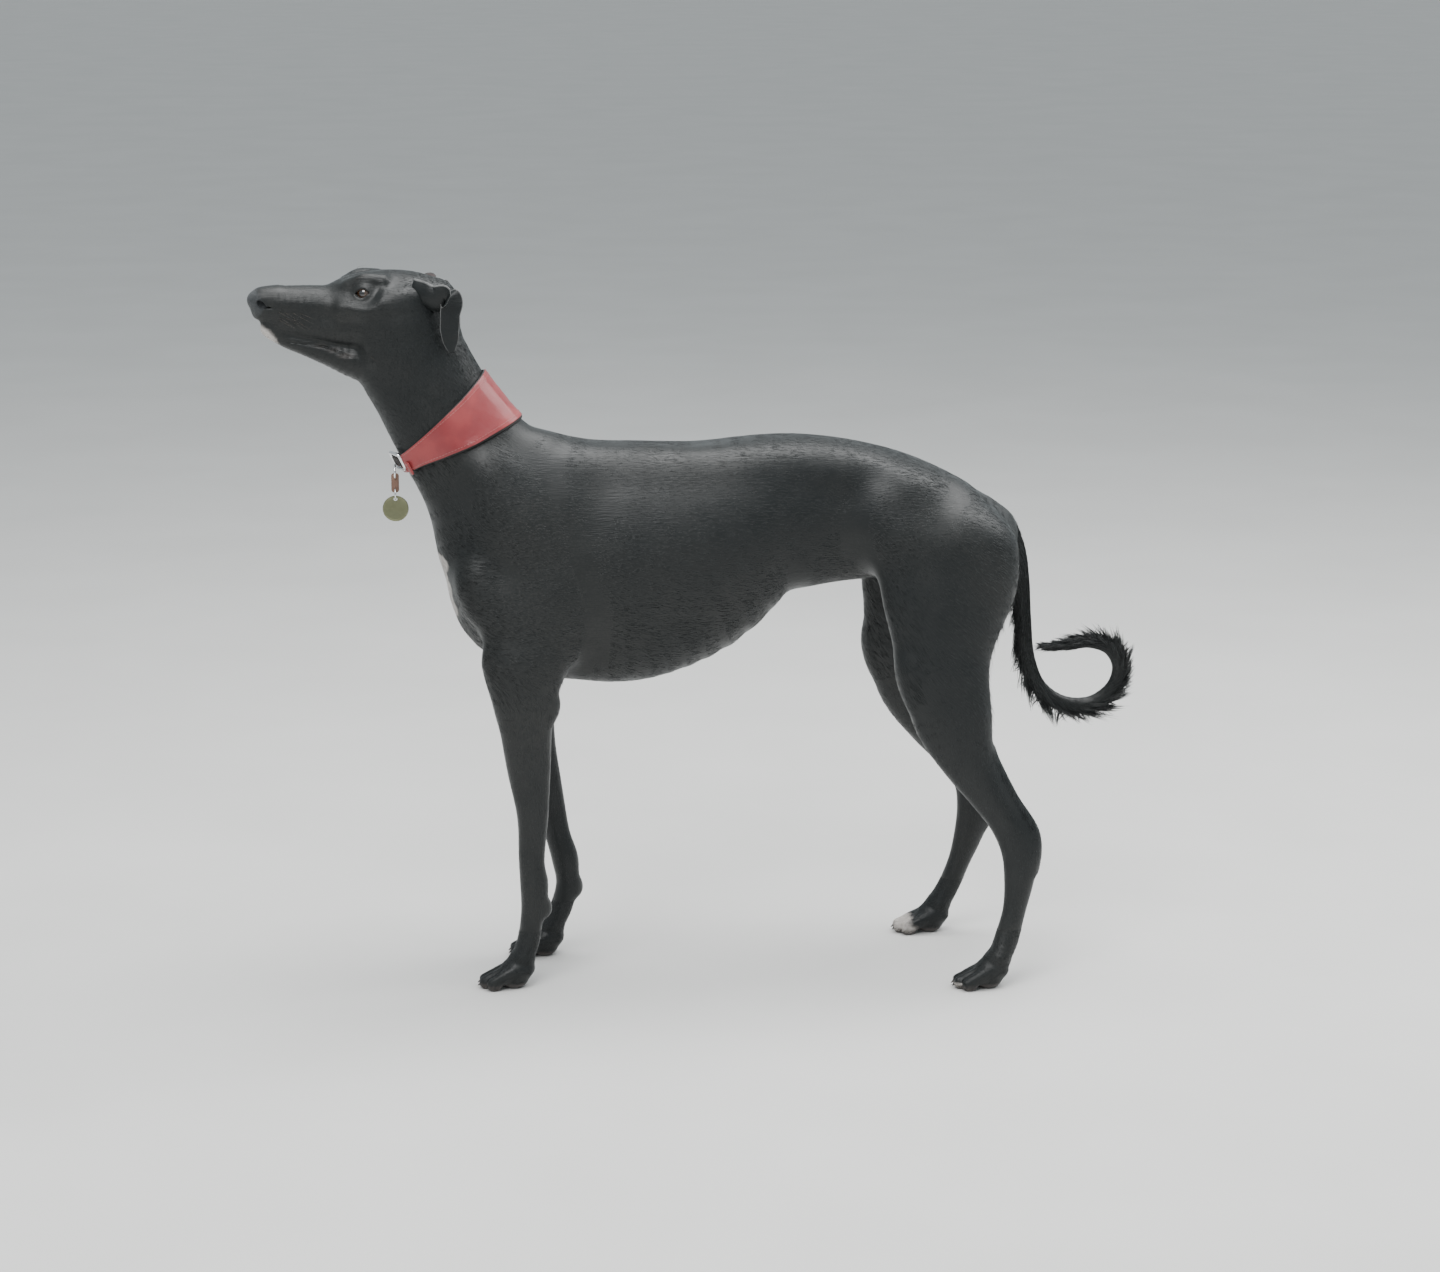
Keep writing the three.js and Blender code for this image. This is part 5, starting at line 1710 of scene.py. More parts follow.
class Skin:
    """One closed stretch of the skin, with the lie of its coat."""

    EVEN = 24

    def __init__(self, kit: Kit, name: str, value: Callable[[Array], Array], box: tuple, cell: float,
                 nodes: Sequence[str], growth: Callable[[Array, Array], Array], calm: int = 2,
                 even: Callable[[Array], Array] | None = None,
                 combed: Callable[[Array], Array] | None = None) -> None:
        """Args:
            kit: materials.
            name: name of the piece.
            value: its field.
            box: lowest and highest corner.
            cell: size of its faces.
            nodes: the CAD nodes that it stands for.
            growth: length of the hair at points with given normals, 0 to 1.
            calm: how often the shading is evened out.
            even: how much the form is evened out at points, 0 to 1.
            combed: which way the hair lies, in place of the forms' own lie.
        """
        vertices, faces, normals = surface(value, *box, cell, calm)
        if even:
            share, links = even(vertices)[:, None], links_of(faces)
            vertices += share * (averaged(vertices, links, self.EVEN) - vertices)
            normals = unit(normals + share * (averaged(normals, links, self.EVEN) - normals))
        self.piece = add_mesh(name, to_frame(vertices), faces.tolist(), kit.skin)
        way, own, chart = DOG.lie(vertices)
        if combed:
            way = combed(vertices)
        self.store("lie", unit(way - normals * (way * normals).sum(1, keepdims=True)))
        self.store("growth", growth(vertices, normals))
        self.store("root", self.charted(own, chart))
        self.piece.data.normals_split_custom_set_from_vertices(normals.tolist())
        self.area = sum(p.area for p in self.piece.data.polygons)
        kit.place(self.piece, Finish.COAT, *nodes)

    @staticmethod
    def charted(own: Array, chart: Array) -> Array:
        """Places on the unwrap, with a square for each of the forms.

        Args:
            own: coordinates (along, around) on the nearest form.
            chart: its number.

        Returns:
            Places in the unit square, with a zero added.
        """
        side = np.ceil(math.sqrt(chart.max() + 1))
        square = np.stack([chart % side, chart // side], 1)
        flat = (square + 0.05 + np.clip(own / [800, 900] + [0.05, 0.5], 0, 1) * 0.9) / side
        return np.concatenate([flat, np.zeros((len(flat), 1))], 1)

    def store(self, name: str, rows: Array) -> None:
        """Stores numbers or vectors at the vertices.

        Args:
            name: the attribute's name.
            rows: the values.
        """
        kind, key = ("FLOAT_VECTOR", "vector") if rows.ndim == 2 else ("FLOAT", "value")
        attribute = self.piece.data.attributes.new(name, kind, "POINT")
        attribute.data.foreach_set(key, rows.astype(np.float32).ravel())


def unwrap(mesh: Mesh, flat: Array) -> None:
    """Gives a mesh of tufts its unwrap.

    Args:
        mesh: the mesh.
        flat: a place for each vertex.
    """
    loops = np.zeros(len(mesh.loops), np.int32)
    mesh.loops.foreach_get("vertex_index", loops)
    mesh.uv_layers.new(name="OFBake").data.foreach_set("uv", flat[loops].astype(np.float32).ravel())


class Coat:
    """Tufts over the skins, laid along the lie of the coat."""

    UNWRAP = np.array([(0, 0), (1, 0), (0.5, 0.2), (0, 0.6), (1, 0.6), (0.5, 0.7), (0.5, 1)]) * 0.003

    def __init__(self, kit: Kit) -> None:
        """Args:
            kit: materials.
        """
        self.kit = kit
        self.tree = tuft_tree()
        self.shape = tuft_mesh(kit.hair)

    def grow(self, skin: Skin, layer: TuftLayer) -> Object:
        """Grows one layer on a skin.

        Args:
            skin: what it grows on.
            layer: its sizes.

        Returns:
            The piece.
        """
        piece = run_tree(layer.name, skin.piece, self.tree, {
            "Shape": self.shape, "Material": self.kit.hair, "Density": layer.count / skin.area,
            "Length": layer.length, "Width": layer.width, "Height": layer.height, "Spread": layer.spread,
            "Seed": layer.seed})
        mesh = piece.data
        count = len(mesh.vertices)
        root = np.zeros(count * 3, np.float32)
        mesh.attributes["root"].data.foreach_get("vector", root)
        unwrap(mesh, root.reshape(-1, 3)[:, :2] + np.tile(self.UNWRAP, (count // TUFT_VERTICES, 1)))
        for attribute in ("root", "lie", "growth"):
            if attribute in mesh.attributes:
                mesh.attributes.remove(mesh.attributes[attribute])
        return self.kit.place(piece, Finish.COAT)


def below_collar(p: Array) -> Array:
    """Signed distance above the plane under the collar's middle.

    Args:
        p: points.

    Returns:
        Millimetres at each.
    """
    return (p - np.array([-332.0, 0.0, 706.0])) @ np.array([-0.56, 0.0, 0.83])


FOOT_TOP = 74.0
DIP = 4.0


def dipped(distance: Array, depth: float = 0.35) -> Array:
    """How far a skin sinks near its cut, so that it passes under its neighbour.

    Args:
        distance: how far inside the cut a point is.
        depth: the most that it sinks.

    Returns:
        Millimetres to sink.
    """
    return depth * np.clip(1 - distance / DIP, 0, 1)


def head_skin_value(p: Array) -> Array:
    """The head and the top of the neck, closed under the collar.

    Args:
        p: points.

    Returns:
        Negative inside.
    """
    return np.maximum(head_value(p), 3 - below_collar(p))


def body_skin_value(p: Array) -> Array:
    """The trunk and legs, closed under the collar and above the feet.

    Args:
        p: points.

    Returns:
        Negative inside.
    """
    v = DOG.value(p) + COAT_DEPTH + dipped(p[:, 2] - FOOT_TOP + DIP) * (p[:, 2] < 200)
    v = np.maximum(v, below_collar(p) + 3)
    return np.maximum(v, FOOT_TOP - DIP - p[:, 2])


def foot_skin_value(p: Array) -> Array:
    """The feet, closed above and flat under the pads.

    Args:
        p: points.

    Returns:
        Negative inside.
    """
    v = DOG.value(p) + 0.3 + 0.5 * np.clip((p[:, 2] - 30) / 30, 0, 1) + dipped(FOOT_TOP + DIP - p[:, 2])
    v = np.maximum(v, p[:, 2] - FOOT_TOP - DIP)
    return np.maximum(v, 0.1 - p[:, 2])


def head_growth(p: Array, n: Array) -> Array:
    """Length of the hair over the head: none on the nose, eyes and lips, short on the face.

    Args:
        p, n: points and normals; the normals are not used.

    Returns:
        0 to 1 at each.
    """
    h = to_head(p)
    made = np.interp(h[:, 0], [-140, -60, 20, 125], [1.0, 0.75, 0.42, 0.3])
    for s in (-1, 1):
        far = np.linalg.norm(p - eye_axes(s)[0], axis=1)
        made *= np.clip((far - 12.8) / 6, 0, 1)
    made *= np.clip((np.linalg.norm((h - NOSE_TIP) / NOSE_RADII, axis=1) - 1.05) / 0.2, 0, 1)
    made *= np.clip((chain(h[:, [0, 2]], LIP_LINE) - 2) / 4, 0, 1) + (np.abs(h[:, 0]) > 200)
    return made * (below_collar(p) > 8)


def body_growth(p: Array, n: Array) -> Array:
    """Length of the hair over the body: shorter down the legs, none under the collar.

    Args:
        p, n: points and normals; the normals are not used.

    Returns:
        0 to 1 at each.
    """
    made = np.interp(p[:, 2], [80, 250, 400], [0.45, 0.6, 1.0])
    return made * (below_collar(p) < -8) * (p[:, 2] > FOOT_TOP - DIP + 0.5)


def foot_growth(p: Array, n: Array) -> Array:
    """Length of the hair over the feet: none on the pads.

    Args:
        p, n: points and normals.

    Returns:
        0 to 1 at each.
    """
    return 0.4 * (n[:, 2] > -0.35) * (p[:, 2] > 3) * (p[:, 2] < FOOT_TOP + DIP - 0.5)


def tail_value(p: Array) -> Array:
    """The tail's field beyond its root.

    Args:
        p: points.

    Returns:
        Negative inside.
    """
    return DOG.tail.value(p) + 0.6


class Ears:
    """The folded ears, each a cupped leaf with a lining."""

    ROWS, COLUMNS = 8, 18
    THICK, RIM, LINED = 2.6, 3, 0.4

    def __init__(self, kit: Kit) -> None:
        """Args:
            kit: materials.
        """
        for name, s in SIDES.items():
            self.build(kit, name, s)

    def build(self, kit: Kit, name: str, s: int) -> None:
        """Builds one ear.

        Args:
            kit: materials.
            name: left or right.
            s: -1 or 1.
        """
        rows = smooth_rows(EAR, self.ROWS)
        centre = np.array([in_head(f, s * o, u) for f, o, u in rows[:, :3]])
        along = unit(np.gradient(centre, axis=0))
        across = rows[:, 3:4] * FORWARD + rows[:, 4:5] * s * HEAD_SIDE + rows[:, 5:6] * UP
        across = unit(across - along * (across * along).sum(1, keepdims=True))
        inward = unit(np.cross(across, along) * s)
        b = np.cos(np.linspace(math.pi, 0, self.COLUMNS))
        width, cup = rows[:, 6:7], rows[:, 7:8]
        thick = self.THICK * (0.25 + 0.75 * np.sqrt(np.clip(1 - b**2, 0, 1)))
        ripple = 0.5 * np.sin(np.arange(len(rows)) * 0.7)[:, None] * b**2
        layers = []
        for layer in (0, 1):
            sink = cup * (1 - b**2) + ripple + layer * thick
            layers.append(centre[:, None] + across[:, None] * (b * width)[..., None]
                          + inward[:, None] * (sink + 0.3)[..., None])
        shape = loft(np.concatenate([layers[0], layers[1][:, ::-1]], axis=1))
        piece = kit.solid(f"{name}_ear", shape, kit.skin, Finish.COAT, f"{name}_ear")
        piece.data.materials.append(kit.ear_lining)
        piece.data.materials.append(kit.ear_rim)
        round_trip = 2 * self.COLUMNS
        for polygon in piece.data.polygons:
            if max(polygon.vertices) >= len(rows) * round_trip:
                continue
            columns = [v % round_trip for v in polygon.vertices]
            row = min(v // round_trip for v in polygon.vertices)
            from_edge = [min(c, round_trip - 1 - c, abs(self.COLUMNS - 0.5 - c)) for c in columns]
            # The faces along the leaf's edges get the lighter grey
            if max(from_edge) < self.RIM:
                polygon.material_index = 2
            elif max(columns) < self.COLUMNS and row < self.LINED * len(rows):
                polygon.material_index = 1


class Eyes:
    """Eyeballs and the dark wet rims of the lids."""

    RIM = 0.6

    def __init__(self, kit: Kit) -> None:
        """Args:
            kit: materials.
        """
        for name, s in SIDES.items():
            middle, level, upward, gaze = eye_axes(s)
            u = np.linspace(0.02, math.pi - 0.02, 25)
            v = np.arange(40) * 2 * math.pi / 40
            bulge = 1 + 0.05 * np.exp(-(u / 0.55) ** 2)
            rings = middle + EYE_RADIUS * 0.985 * (
                (bulge * np.cos(u))[:, None, None] * gaze
                + (np.sin(u))[:, None, None] * (np.cos(v)[:, None] * level + np.sin(v)[:, None] * upward))
            kit.solid(f"{name}_eye", loft(rings), kit.eye, Finish.EYE, f"{name}_eye")
            t = np.linspace(0, 2 * math.pi, 56, endpoint=False)
            x = APERTURE[0] * np.cos(t) * 0.99
            y = np.where(np.sin(t) >= 0, lid_edge(x, True), lid_edge(x, False))
            out = EYE_RADIUS + LID * 0.55
            w = np.sqrt(np.maximum(out**2 - x**2 - y**2, 1.0))
            line = middle + x[:, None] * level + y[:, None] * upward + w[:, None] * gaze
            line = np.vstack([line, line[:1]])
            shape = band(sweep(line, self.RIM, 10, side=gaze)[:-1])
            kit.solid(f"{name}_eyelid_rim", shape, kit.horn, Finish.COAT)


class Claws:
    """A short, curved, tapered claw on each toe."""

    RADIUS = 2.6

    def __init__(self, kit: Kit) -> None:
        """Args:
            kit: materials.
        """
        shapes = []
        for paw in PAWS:
            for _, (x, y, z) in paw.toes():
                t = np.linspace(0, 1, 9)
                line = np.stack([x + 7 - 14 * t, np.full(9, y), z + 3.6 - 8.2 * t**1.4 - 1.2 * t], 1)
                line[:, 2] = np.maximum(line[:, 2], 0.9)
                rings = sweep(line, self.RADIUS * np.sqrt(np.clip(1.02 - t, 0.03, 1)), 10)
                rings[..., 2] = np.maximum(rings[..., 2], 0.15)
                shapes.append(loft(rings))
        kit.solid("claws", joined(shapes), kit.horn, Finish.COAT)


def rounded(width: float, height: float, corner: float, count: int) -> Array:
    """A rectangle with round corners.

    Args:
        width, height: its size.
        corner: radius of a corner.
        count: points for each corner.

    Returns:
        2-D points.
    """
    made = []
    for k, (sx, sy) in enumerate(((1, 1), (-1, 1), (-1, -1), (1, -1))):
        for a in np.linspace(k * math.pi / 2, (k + 1) * math.pi / 2, count):
            made.append((sx * (width / 2 - corner) + corner * math.cos(a),
                         sy * (height / 2 - corner) + corner * math.sin(a)))
    return np.array(made)


def plate(size: Sequence[float], steps: Iterable[tuple[float, float]], count: int = 6,
          shrink: Sequence[float] = (2, 2, 1)) -> Array:
    """Outlines of a plate with round corners, one above another.

    Args:
        size: width, height and radius of a corner.
        steps: how far each outline is set in, and its level.
        count: points for each corner.
        shrink: how much of the inset comes off each size.

    Returns:
        (outlines, points, 3), with the level last.
    """
    made = []
    for inset, level in steps:
        width, height, corner = (a - b * inset for a, b in zip(size, shrink))
        flat = rounded(width, height, max(corner, 0.6), count)
        made.append(np.column_stack([flat, np.full(len(flat), level)]))
    return np.array(made)


class Collar:
    """The broad red strap, its lining, stitches and fittings."""

    AROUND, ACROSS = 150, 17
    STRAP, CLEAR = 4.0, 0.5
    FACING = np.array([-0.80, -0.40, -0.45])
    # The lining's section as (share of the strap's width, distance from the neck)
    LINING = [(-0.010, 0.5), (-0.024, 1.2), (-0.010, 2.2), (0.5, 1.8), (1.03, 2.6), (1.05, 1.4), (1.03, 0.5),
              (0.5, 0.5)]
    # Places of the fittings at the throat as (across, down, outward), and heights in the dog's frame
    BUCKLE_DOWN, KEEPER_AT = -7, (-23, 1, 0)
    TAB_HEIGHT, TAG_HEIGHT = 641, 608.7
    RINGS = (("collar_ring", 8.0, 1.3, 655.0), ("tag_ring", 7.0, 0.9, 627.5))

    def __init__(self, kit: Kit) -> None:
        """Args:
            kit: materials.
        """
        self.kit = kit
        self.top = smooth_rows(COLLAR_TOP, 10)
        self.foot = smooth_rows(COLLAR_FOOT[::-1], 10)
        self.strap()
        self.stitches()
        self.fittings()
        self.tag()

    def line(self, share: float, level: float, lift: Callable[[Array], Array] | None = None) -> Array:
        """A closed line round the neck.

        Args:
            share: 0 at the upper edge to 1 at the lower.
            level: distance from the neck.
            lift: more distance, by angle.

        Returns:
            Points of the line.
        """
        def at(edge: Array, t: Array) -> Array:
            place = np.linspace(0, 1, len(edge))
            return np.stack([np.interp(t, place, edge[:, 0]), np.interp(t, place, edge[:, 1])], 1)

        def curve(t: Array) -> Array:
            return at(self.top, t) * (1 - share) + at(self.foot, t) * share

        ends = curve(np.array([0.0, 1.0]))
        nape, throat = np.array([ends[0, 0], 0, ends[0, 1]]), np.array([ends[1, 0], 0, ends[1, 1]])
        middle = (nape + throat) / 2
        angle = np.linspace(0, 2 * math.pi, self.AROUND, endpoint=False)
        way = np.cos(angle)[:, None] * unit(nape - middle) + np.sin(angle)[:, None] * np.array([0, 1.0, 0])
        target = np.full(self.AROUND, level) + (lift(angle) if lift else 0)
        near, far = np.full(self.AROUND, 5.0), np.full(self.AROUND, 150.0)
        chord = np.linalg.norm(nape - middle)

        def spot_at(r: Array) -> Array:
            p = middle + way * r[:, None]
            t = np.clip(0.5 - 0.5 * (way * r[:, None]) @ unit(nape - middle) / chord, 0, 1)
            bent = curve(t)
            straight = nape + (throat - nape) * t[:, None]
            p[:, 0] += bent[:, 0] - straight[:, 0]
            p[:, 2] += bent[:, 1] - straight[:, 2]
            return p

        for _ in range(26):
            r = (near + far) / 2
            short = DOG.value(spot_at(r)) < target
            near, far = np.where(short, r, near), np.where(short, far, r)
        return spot_at((near + far) / 2)

    def strap(self) -> None:
        """Builds the strap and its lining."""
        outer, inner, edge = self.CLEAR + self.STRAP, self.CLEAR + 1.1, 0.7

        def crease(share: float) -> Callable[[Array], Array]:
            def lift(angle: Array) -> Array:
                nape = np.exp(-((np.angle(np.exp(1j * angle))) / 0.8) ** 2)
                fold = np.sin(angle * 9 + share * 5.0) * 0.35 + np.sin(angle * 17 - share * 9) * 0.15
                return fold * (0.35 + nape) * math.sin(math.pi * share)
            return lift

        shares = (0.5 - 0.5 * np.cos(np.linspace(0, 1, self.ACROSS) * math.pi)).tolist()
        lines = [self.line(0.0, self.CLEAR + 1.4)]
        lines += [self.line(x, outer - edge * (abs(2 * x - 1) ** 8), crease(x)) for x in shares]
        lines += [self.line(1.0, self.CLEAR + 1.4)] + [self.line(x, inner) for x in (1.0, 0.5, 0.0)]
        self.kit.solid("collar_strap", band(np.array(lines)), self.kit.red, Finish.RED, "collar_strap")
        lining = np.array([self.line(x, level) for x, level in self.LINING])
        self.kit.solid("collar_lining", band(lining), self.kit.lining, Finish.RED)

    def stitches(self) -> None:
        """Lays a row of stitches along each edge by geometry nodes."""
        nodes = Scatter("Stitches", {
            "Step": "Float", "Length": "Float", "Radius": "Float", "Material": "Material"})
        given = nodes.given
        curve = nodes.add("GeometryNodeMeshToCurve", {"Mesh": given["Geometry"]})
        points = nodes.add("GeometryNodeCurveToPoints", {"Curve": curve.outputs[0], "Length": given["Step"]},
                           mode="LENGTH")
        stitch = nodes.add("GeometryNodeMeshUVSphere", {"Segments": 8, "Rings": 6, "Radius": 1.0})
        along = points.outputs["Tangent"]
        turned = nodes.add("FunctionNodeAlignRotationToVector", {"Vector": along}, axis="X")
        sizes = {"X": given["Length"], "Y": given["Radius"], "Z": given["Radius"]}
        scale = nodes.add("ShaderNodeCombineXYZ", sizes)
        tree = nodes.lay(points, stitch.outputs[0], turned, scale)
        for name, share in (("upper", 0.075), ("lower", 0.925)):
            line = self.line(share, self.CLEAR + self.STRAP - 0.15)
            mesh = bpy.data.meshes.new("stitch_line")
            edges = [(i, (i + 1) % len(line)) for i in range(len(line))]
            mesh.from_pydata(to_frame(line).tolist(), edges, [])
            carrier = bpy.data.objects.new("stitch_line", mesh)
            bpy.context.scene.collection.objects.link(carrier)
            # The pale thread of the stitches is a painted highlight of the strap's glossy edges
            piece = run_tree(f"collar_stitches_{name}", carrier, tree, {
                "Step": 0.0042, "Length": 0.0016, "Radius": 0.00045, "Material": self.kit.thread})
            bpy.data.objects.remove(carrier)
            self.kit.place(piece, Finish.RED)

    def fitting(self, local: Array) -> Array:
        """Points of a fitting at the throat.

        Args:
            local: across, down the front and outward.

        Returns:
            The points in the dog's frame.
        """
        outward = unit(self.FACING)
        down = unit(np.array([0, 0, -1.0]) + outward * outward[2])
        across = np.cross(down, outward)
        return THROAT + local[..., :1] * across + local[..., 1:2] * down + local[..., 2:] * outward

    def wire(self, name: str, line: Array, radius: float, side: Array, *nodes: str) -> None:
        """A closed ring of steel wire.

        Args:
            name: the piece's name.
            line: its middle line.
            radius: half its thickness.
            side: a direction across the ring's plane.
            nodes: the CAD nodes that it stands for.
        """
        rings = sweep(np.concatenate([line[-2:], line, line[:2]]), radius, 14, side=side)[2:-2]
        self.kit.solid(name, band(rings), self.kit.steel, Finish.STEEL, *nodes)

    def fittings(self) -> None:
        """Builds the buckle with its pin and strap end, the keeper, the rings and the tab."""
        kit, outward = self.kit, unit(self.FACING)
        flat = rounded(24, 22, 5.5, 12)
        arch = 1.2 - (flat[:, 0] / 12) ** 2 * 1.6
        line = self.fitting(np.column_stack([flat[:, 0], flat[:, 1] + self.BUCKLE_DOWN, arch + 3.6]))
        self.wire("collar_buckle", line, 2.2, outward, "collar_buckle")
        steps = ((1.2, 0.4), (0.0, 1.4), (0.0, 4.6), (0.5, 5.6), (2.2, 6.0))
        end = plate((17, 13, 2.6), steps, shrink=(2, 1, 0))
        shape = loft(self.fitting(end + [0, self.BUCKLE_DOWN, 0]))
        kit.solid("collar_buckle_leather", shape, kit.lining, Finish.RED)
        bar = self.fitting(np.array([[0, y, 3.2] for y in np.linspace(-18, 4, 9)]))
        kit.solid("collar_buckle_pin", loft(sweep(bar, 1.1, 10, side=outward)), kit.steel, Finish.STEEL)
        keeper = plate((9, 18, 2.5), ((0.2, 1.4), (0.0, 2.2), (0.4, 3.4), (1.6, 3.7))) + self.KEEPER_AT
        kit.solid("collar_keeper", loft(self.fitting(keeper)), kit.red, Finish.RED, "collar_keeper")
        x, y = HANGING
        angle = np.linspace(0, 2 * math.pi, 48, endpoint=False)
        for name, radius, thick, height in self.RINGS:
            out, up = radius * np.cos(angle), radius * np.sin(angle)
            ring = np.column_stack([np.full(48, x), y + out, height + up])
            self.wire(name, ring, thick, np.array([1.0, 0, 0]), name)
        steps = ((0.9, -1.5), (0.25, -1.25), (0.0, -0.8), (0.0, 0.8), (0.25, 1.25), (0.9, 1.5))
        tab = plate((9.5, 24, 3.5), steps, 7)[..., [0, 2, 1]] + [x, y, self.TAB_HEIGHT]
        kit.solid("collar_tab", loft(tab), kit.tan, Finish.TAN, "collar_tab")

    def tag(self) -> None:
        """Builds the bare round tag with its hole and rolled rim."""
        radius, hole, rim, half = 16.0, 2.4, 4.2, 1.1
        angle = np.linspace(0, 2 * math.pi, 64, endpoint=False)
        edge = [(0.0, half - 0.25), (0.72, half - 0.25), (0.86, half), (0.95, half), (1.0, half - 0.4)]
        eye = np.column_stack([hole * np.cos(angle), hole * np.sin(angle) + radius - rim])
        disc = np.column_stack([radius * np.cos(angle), radius * np.sin(angle)])
        rings = []
        for share, y in [(share, -y) for share, y in edge] + edge[::-1]:
            flat = eye * (1 - share) + disc * share
            rings.append(np.column_stack([flat[:, 0] + HANGING[0], np.full(64, y + HANGING[1]),
                                          flat[:, 1] + self.TAG_HEIGHT]))
        piece = self.kit.solid("name_tag", band(np.array(rings)), self.kit.tag, Finish.TAG, "name_tag")
        piece.data.set_sharp_from_angle(angle=math.radians(25))


class Locks:
    """Long thin hair where it stands off the form: along the tail and behind the thighs."""

    def __init__(self, kit: Kit) -> None:
        """Args:
            kit: materials.
        """
        self.kit = kit
        self.random = np.random.default_rng(SEED)

    @staticmethod
    def lock(root: Array, way: Array, side: Array, length: float, width: float, bend: Array) -> Shape:
        """One flat tapered lock.

        Args:
            root: its root.
            way: its direction.
            side: the direction of its width.
            length, width: its size.
            bend: how far its tip is swept aside.

        Returns:
            Vertices and faces.
        """
        t = np.linspace(0, 1, 5)
        line = root + way * (t * length)[:, None] + bend * (t**2)[:, None]
        return loft(sweep(line, width * (1.02 - t) ** 0.7, 4, 0.35, side))

    def build(self, name: str, made: list[Shape], roots: Array) -> None:
        """Joins locks into a piece.

        Args:
            name: the piece's name.
            made: vertices and faces of each.
            roots: each lock's place on the unwrap.
        """
        flat = [root + np.array([k % 4, k // 4]) * 0.0006 for (more, _), root in zip(made, roots)
                for k in range(len(more))]
        piece = self.kit.solid(name, joined(made), self.kit.hair, Finish.COAT)
        unwrap(piece.data, np.array(flat, np.float32))

    def tail_fringe(self, clumps: int = 330, strands: int = 11) -> None:
        """Hair along the outer side of the tail, in pointed clumps swept towards its tip.

        Args:
            clumps: how many clumps.
            strands: locks of each.
        """
        rows = smooth_rows(TAIL, 12)
        along = unit(np.gradient(rows[:, :3], axis=0))
        made, roots = [], []
        limit = SIZES["loaded"][1][0] / MM - SHIFT[0] - 1.5
        for i in range(clumps):
            station = 3.4 + (14.4 - 3.4) * (i + self.random.random()) / clumps
            late = np.clip((station - 11.0) / 2.0, 0, 1)
            turn = self.random.normal(0, 0.62 + 0.6 * late)
            swell = math.sin(math.pi * min(1.0, 0.12 + (station - 3.4) / 11.5)) ** 0.8
            length = 40 * (0.4 + 0.6 * swell) * self.random.uniform(0.6, 1.08)
            lean = self.random.uniform(1.35, 2.7) + 1.0 * late
            tip = None
            for strand in range(strands):
                k = int(np.clip((station + self.random.normal(0, 0.26)) * 12, 0, len(rows) - 2))
                forward = along[k]
                side = unit(np.array([0, 1.0, 0]) - forward * forward[1])
                out = np.cross(side, forward)
                around = turn + self.random.normal(0, 0.26)
                outward = out * math.cos(around) + side * math.sin(around)
                rest = abs(math.sin(around)) if math.cos(around) > 0 else 1.0
                root = rows[k, :3] + outward * (0.72 * rows[k, 3])
                reach = length * (1 - 0.35 * rest)
                if tip is None:
                    tip = root + unit(outward + forward * (lean + rest)) * reach
                    tip[0] = min(tip[0], limit - 0.16 * reach * max(forward[0], 0))
                end = tip + self.random.normal(0, 1.1, 3)
                way = end - root
                span = float(np.linalg.norm(way)) * self.random.uniform(0.72, 1.0)
                way = unit(way)
                vertices, faces = self.lock(root, way, unit(np.cross(way, outward)), span,
                                            self.random.uniform(0.6, 1.05), 0.16 * span * forward)
                vertices[:, 0] = np.minimum(vertices[:, 0], limit)
                made.append((vertices, faces))
                roots.append((0.05 + 0.9 * station / 15, 0.5 + 0.4 * around / 3))
        self.build("tail_fringe", made, np.array(roots))

    def contour(self, name: str, count: int, rows: Sequence[Sequence[float]], way: Sequence[float],
                length: float, spread: float) -> None:
        """Thin hair that stands a little off a contour.

        Args:
            name: the piece's name.
            count: how many locks.
            rows: points of a line along the contour.
            way: which way the hair points.
            length: its length.
            spread: distance off the line.
        """
        line = smooth_rows(rows, 10)
        starts = line[self.random.integers(len(line), size=count)] + self.random.normal(0, spread, (count, 3))
        starts, out = settle(starts, -1.2)
        ways = unit(np.array(way) + self.random.normal(0, 0.22, (count, 3)))
        lift = self.random.uniform(0.1, 0.32, (count, 1))
        ways = unit(ways + out * (lift - (ways * out).sum(1, keepdims=True)))
        made, roots = [], []
        for start, direction, normal in zip(starts, ways, out):
            made.append(self.lock(start, direction, unit(np.cross(direction, normal)),
                                  length * self.random.uniform(0.55, 1.15), self.random.uniform(0.25, 0.5),
                                  np.array([0, 0, -0.8])))
            roots.append(((start[0] + 520) / 1060, start[2] / 960))
        self.build(name, made, np.array(roots))


def whiskers(kit: Kit) -> None:
    """Long stiff hairs on the muzzle, brows and cheeks.

    Args:
        kit: materials.
    """
    random = np.random.default_rng(SEED + 1)
    beds = [(f, u) for u in (-26, -33, -40) for f in (88, 97, 106, 114)] + [(12, 20), (20, 16), (-8, -72)]
    roots = np.array([in_head(f, s * 30, u + random.normal(0, 1.2)) for s in (-1, 1) for f, u in beds])
    top = SIZES["loaded"][1][2] / MM - 1.0
    t = np.linspace(0, 1, 7)
    shapes = []
    for root, out in zip(*settle(roots, -1.5)):
        way = unit(out * 0.75 - FORWARD * 0.75 + UP * random.normal(-0.15, 0.12))
        length = random.uniform(13, 24)
        line = root + way * (t * length)[:, None] - FORWARD * (3.5 * t**2)[:, None] - UP * (3 * t**2)[:, None]
        line[:, 2] = np.minimum(line[:, 2], top)
        shapes.append(loft(sweep(line, 0.22 * (1.05 - t), 5, side=UP)))
    kit.solid("whiskers", joined(shapes), kit.horn, Finish.COAT)


# Stage


@dataclass(frozen=True)
class Lamp:
    """A square soft light: its place and size in metres and its power in watts."""

    name: str
    place: tuple[float, float, float]
    size: float
    power: float


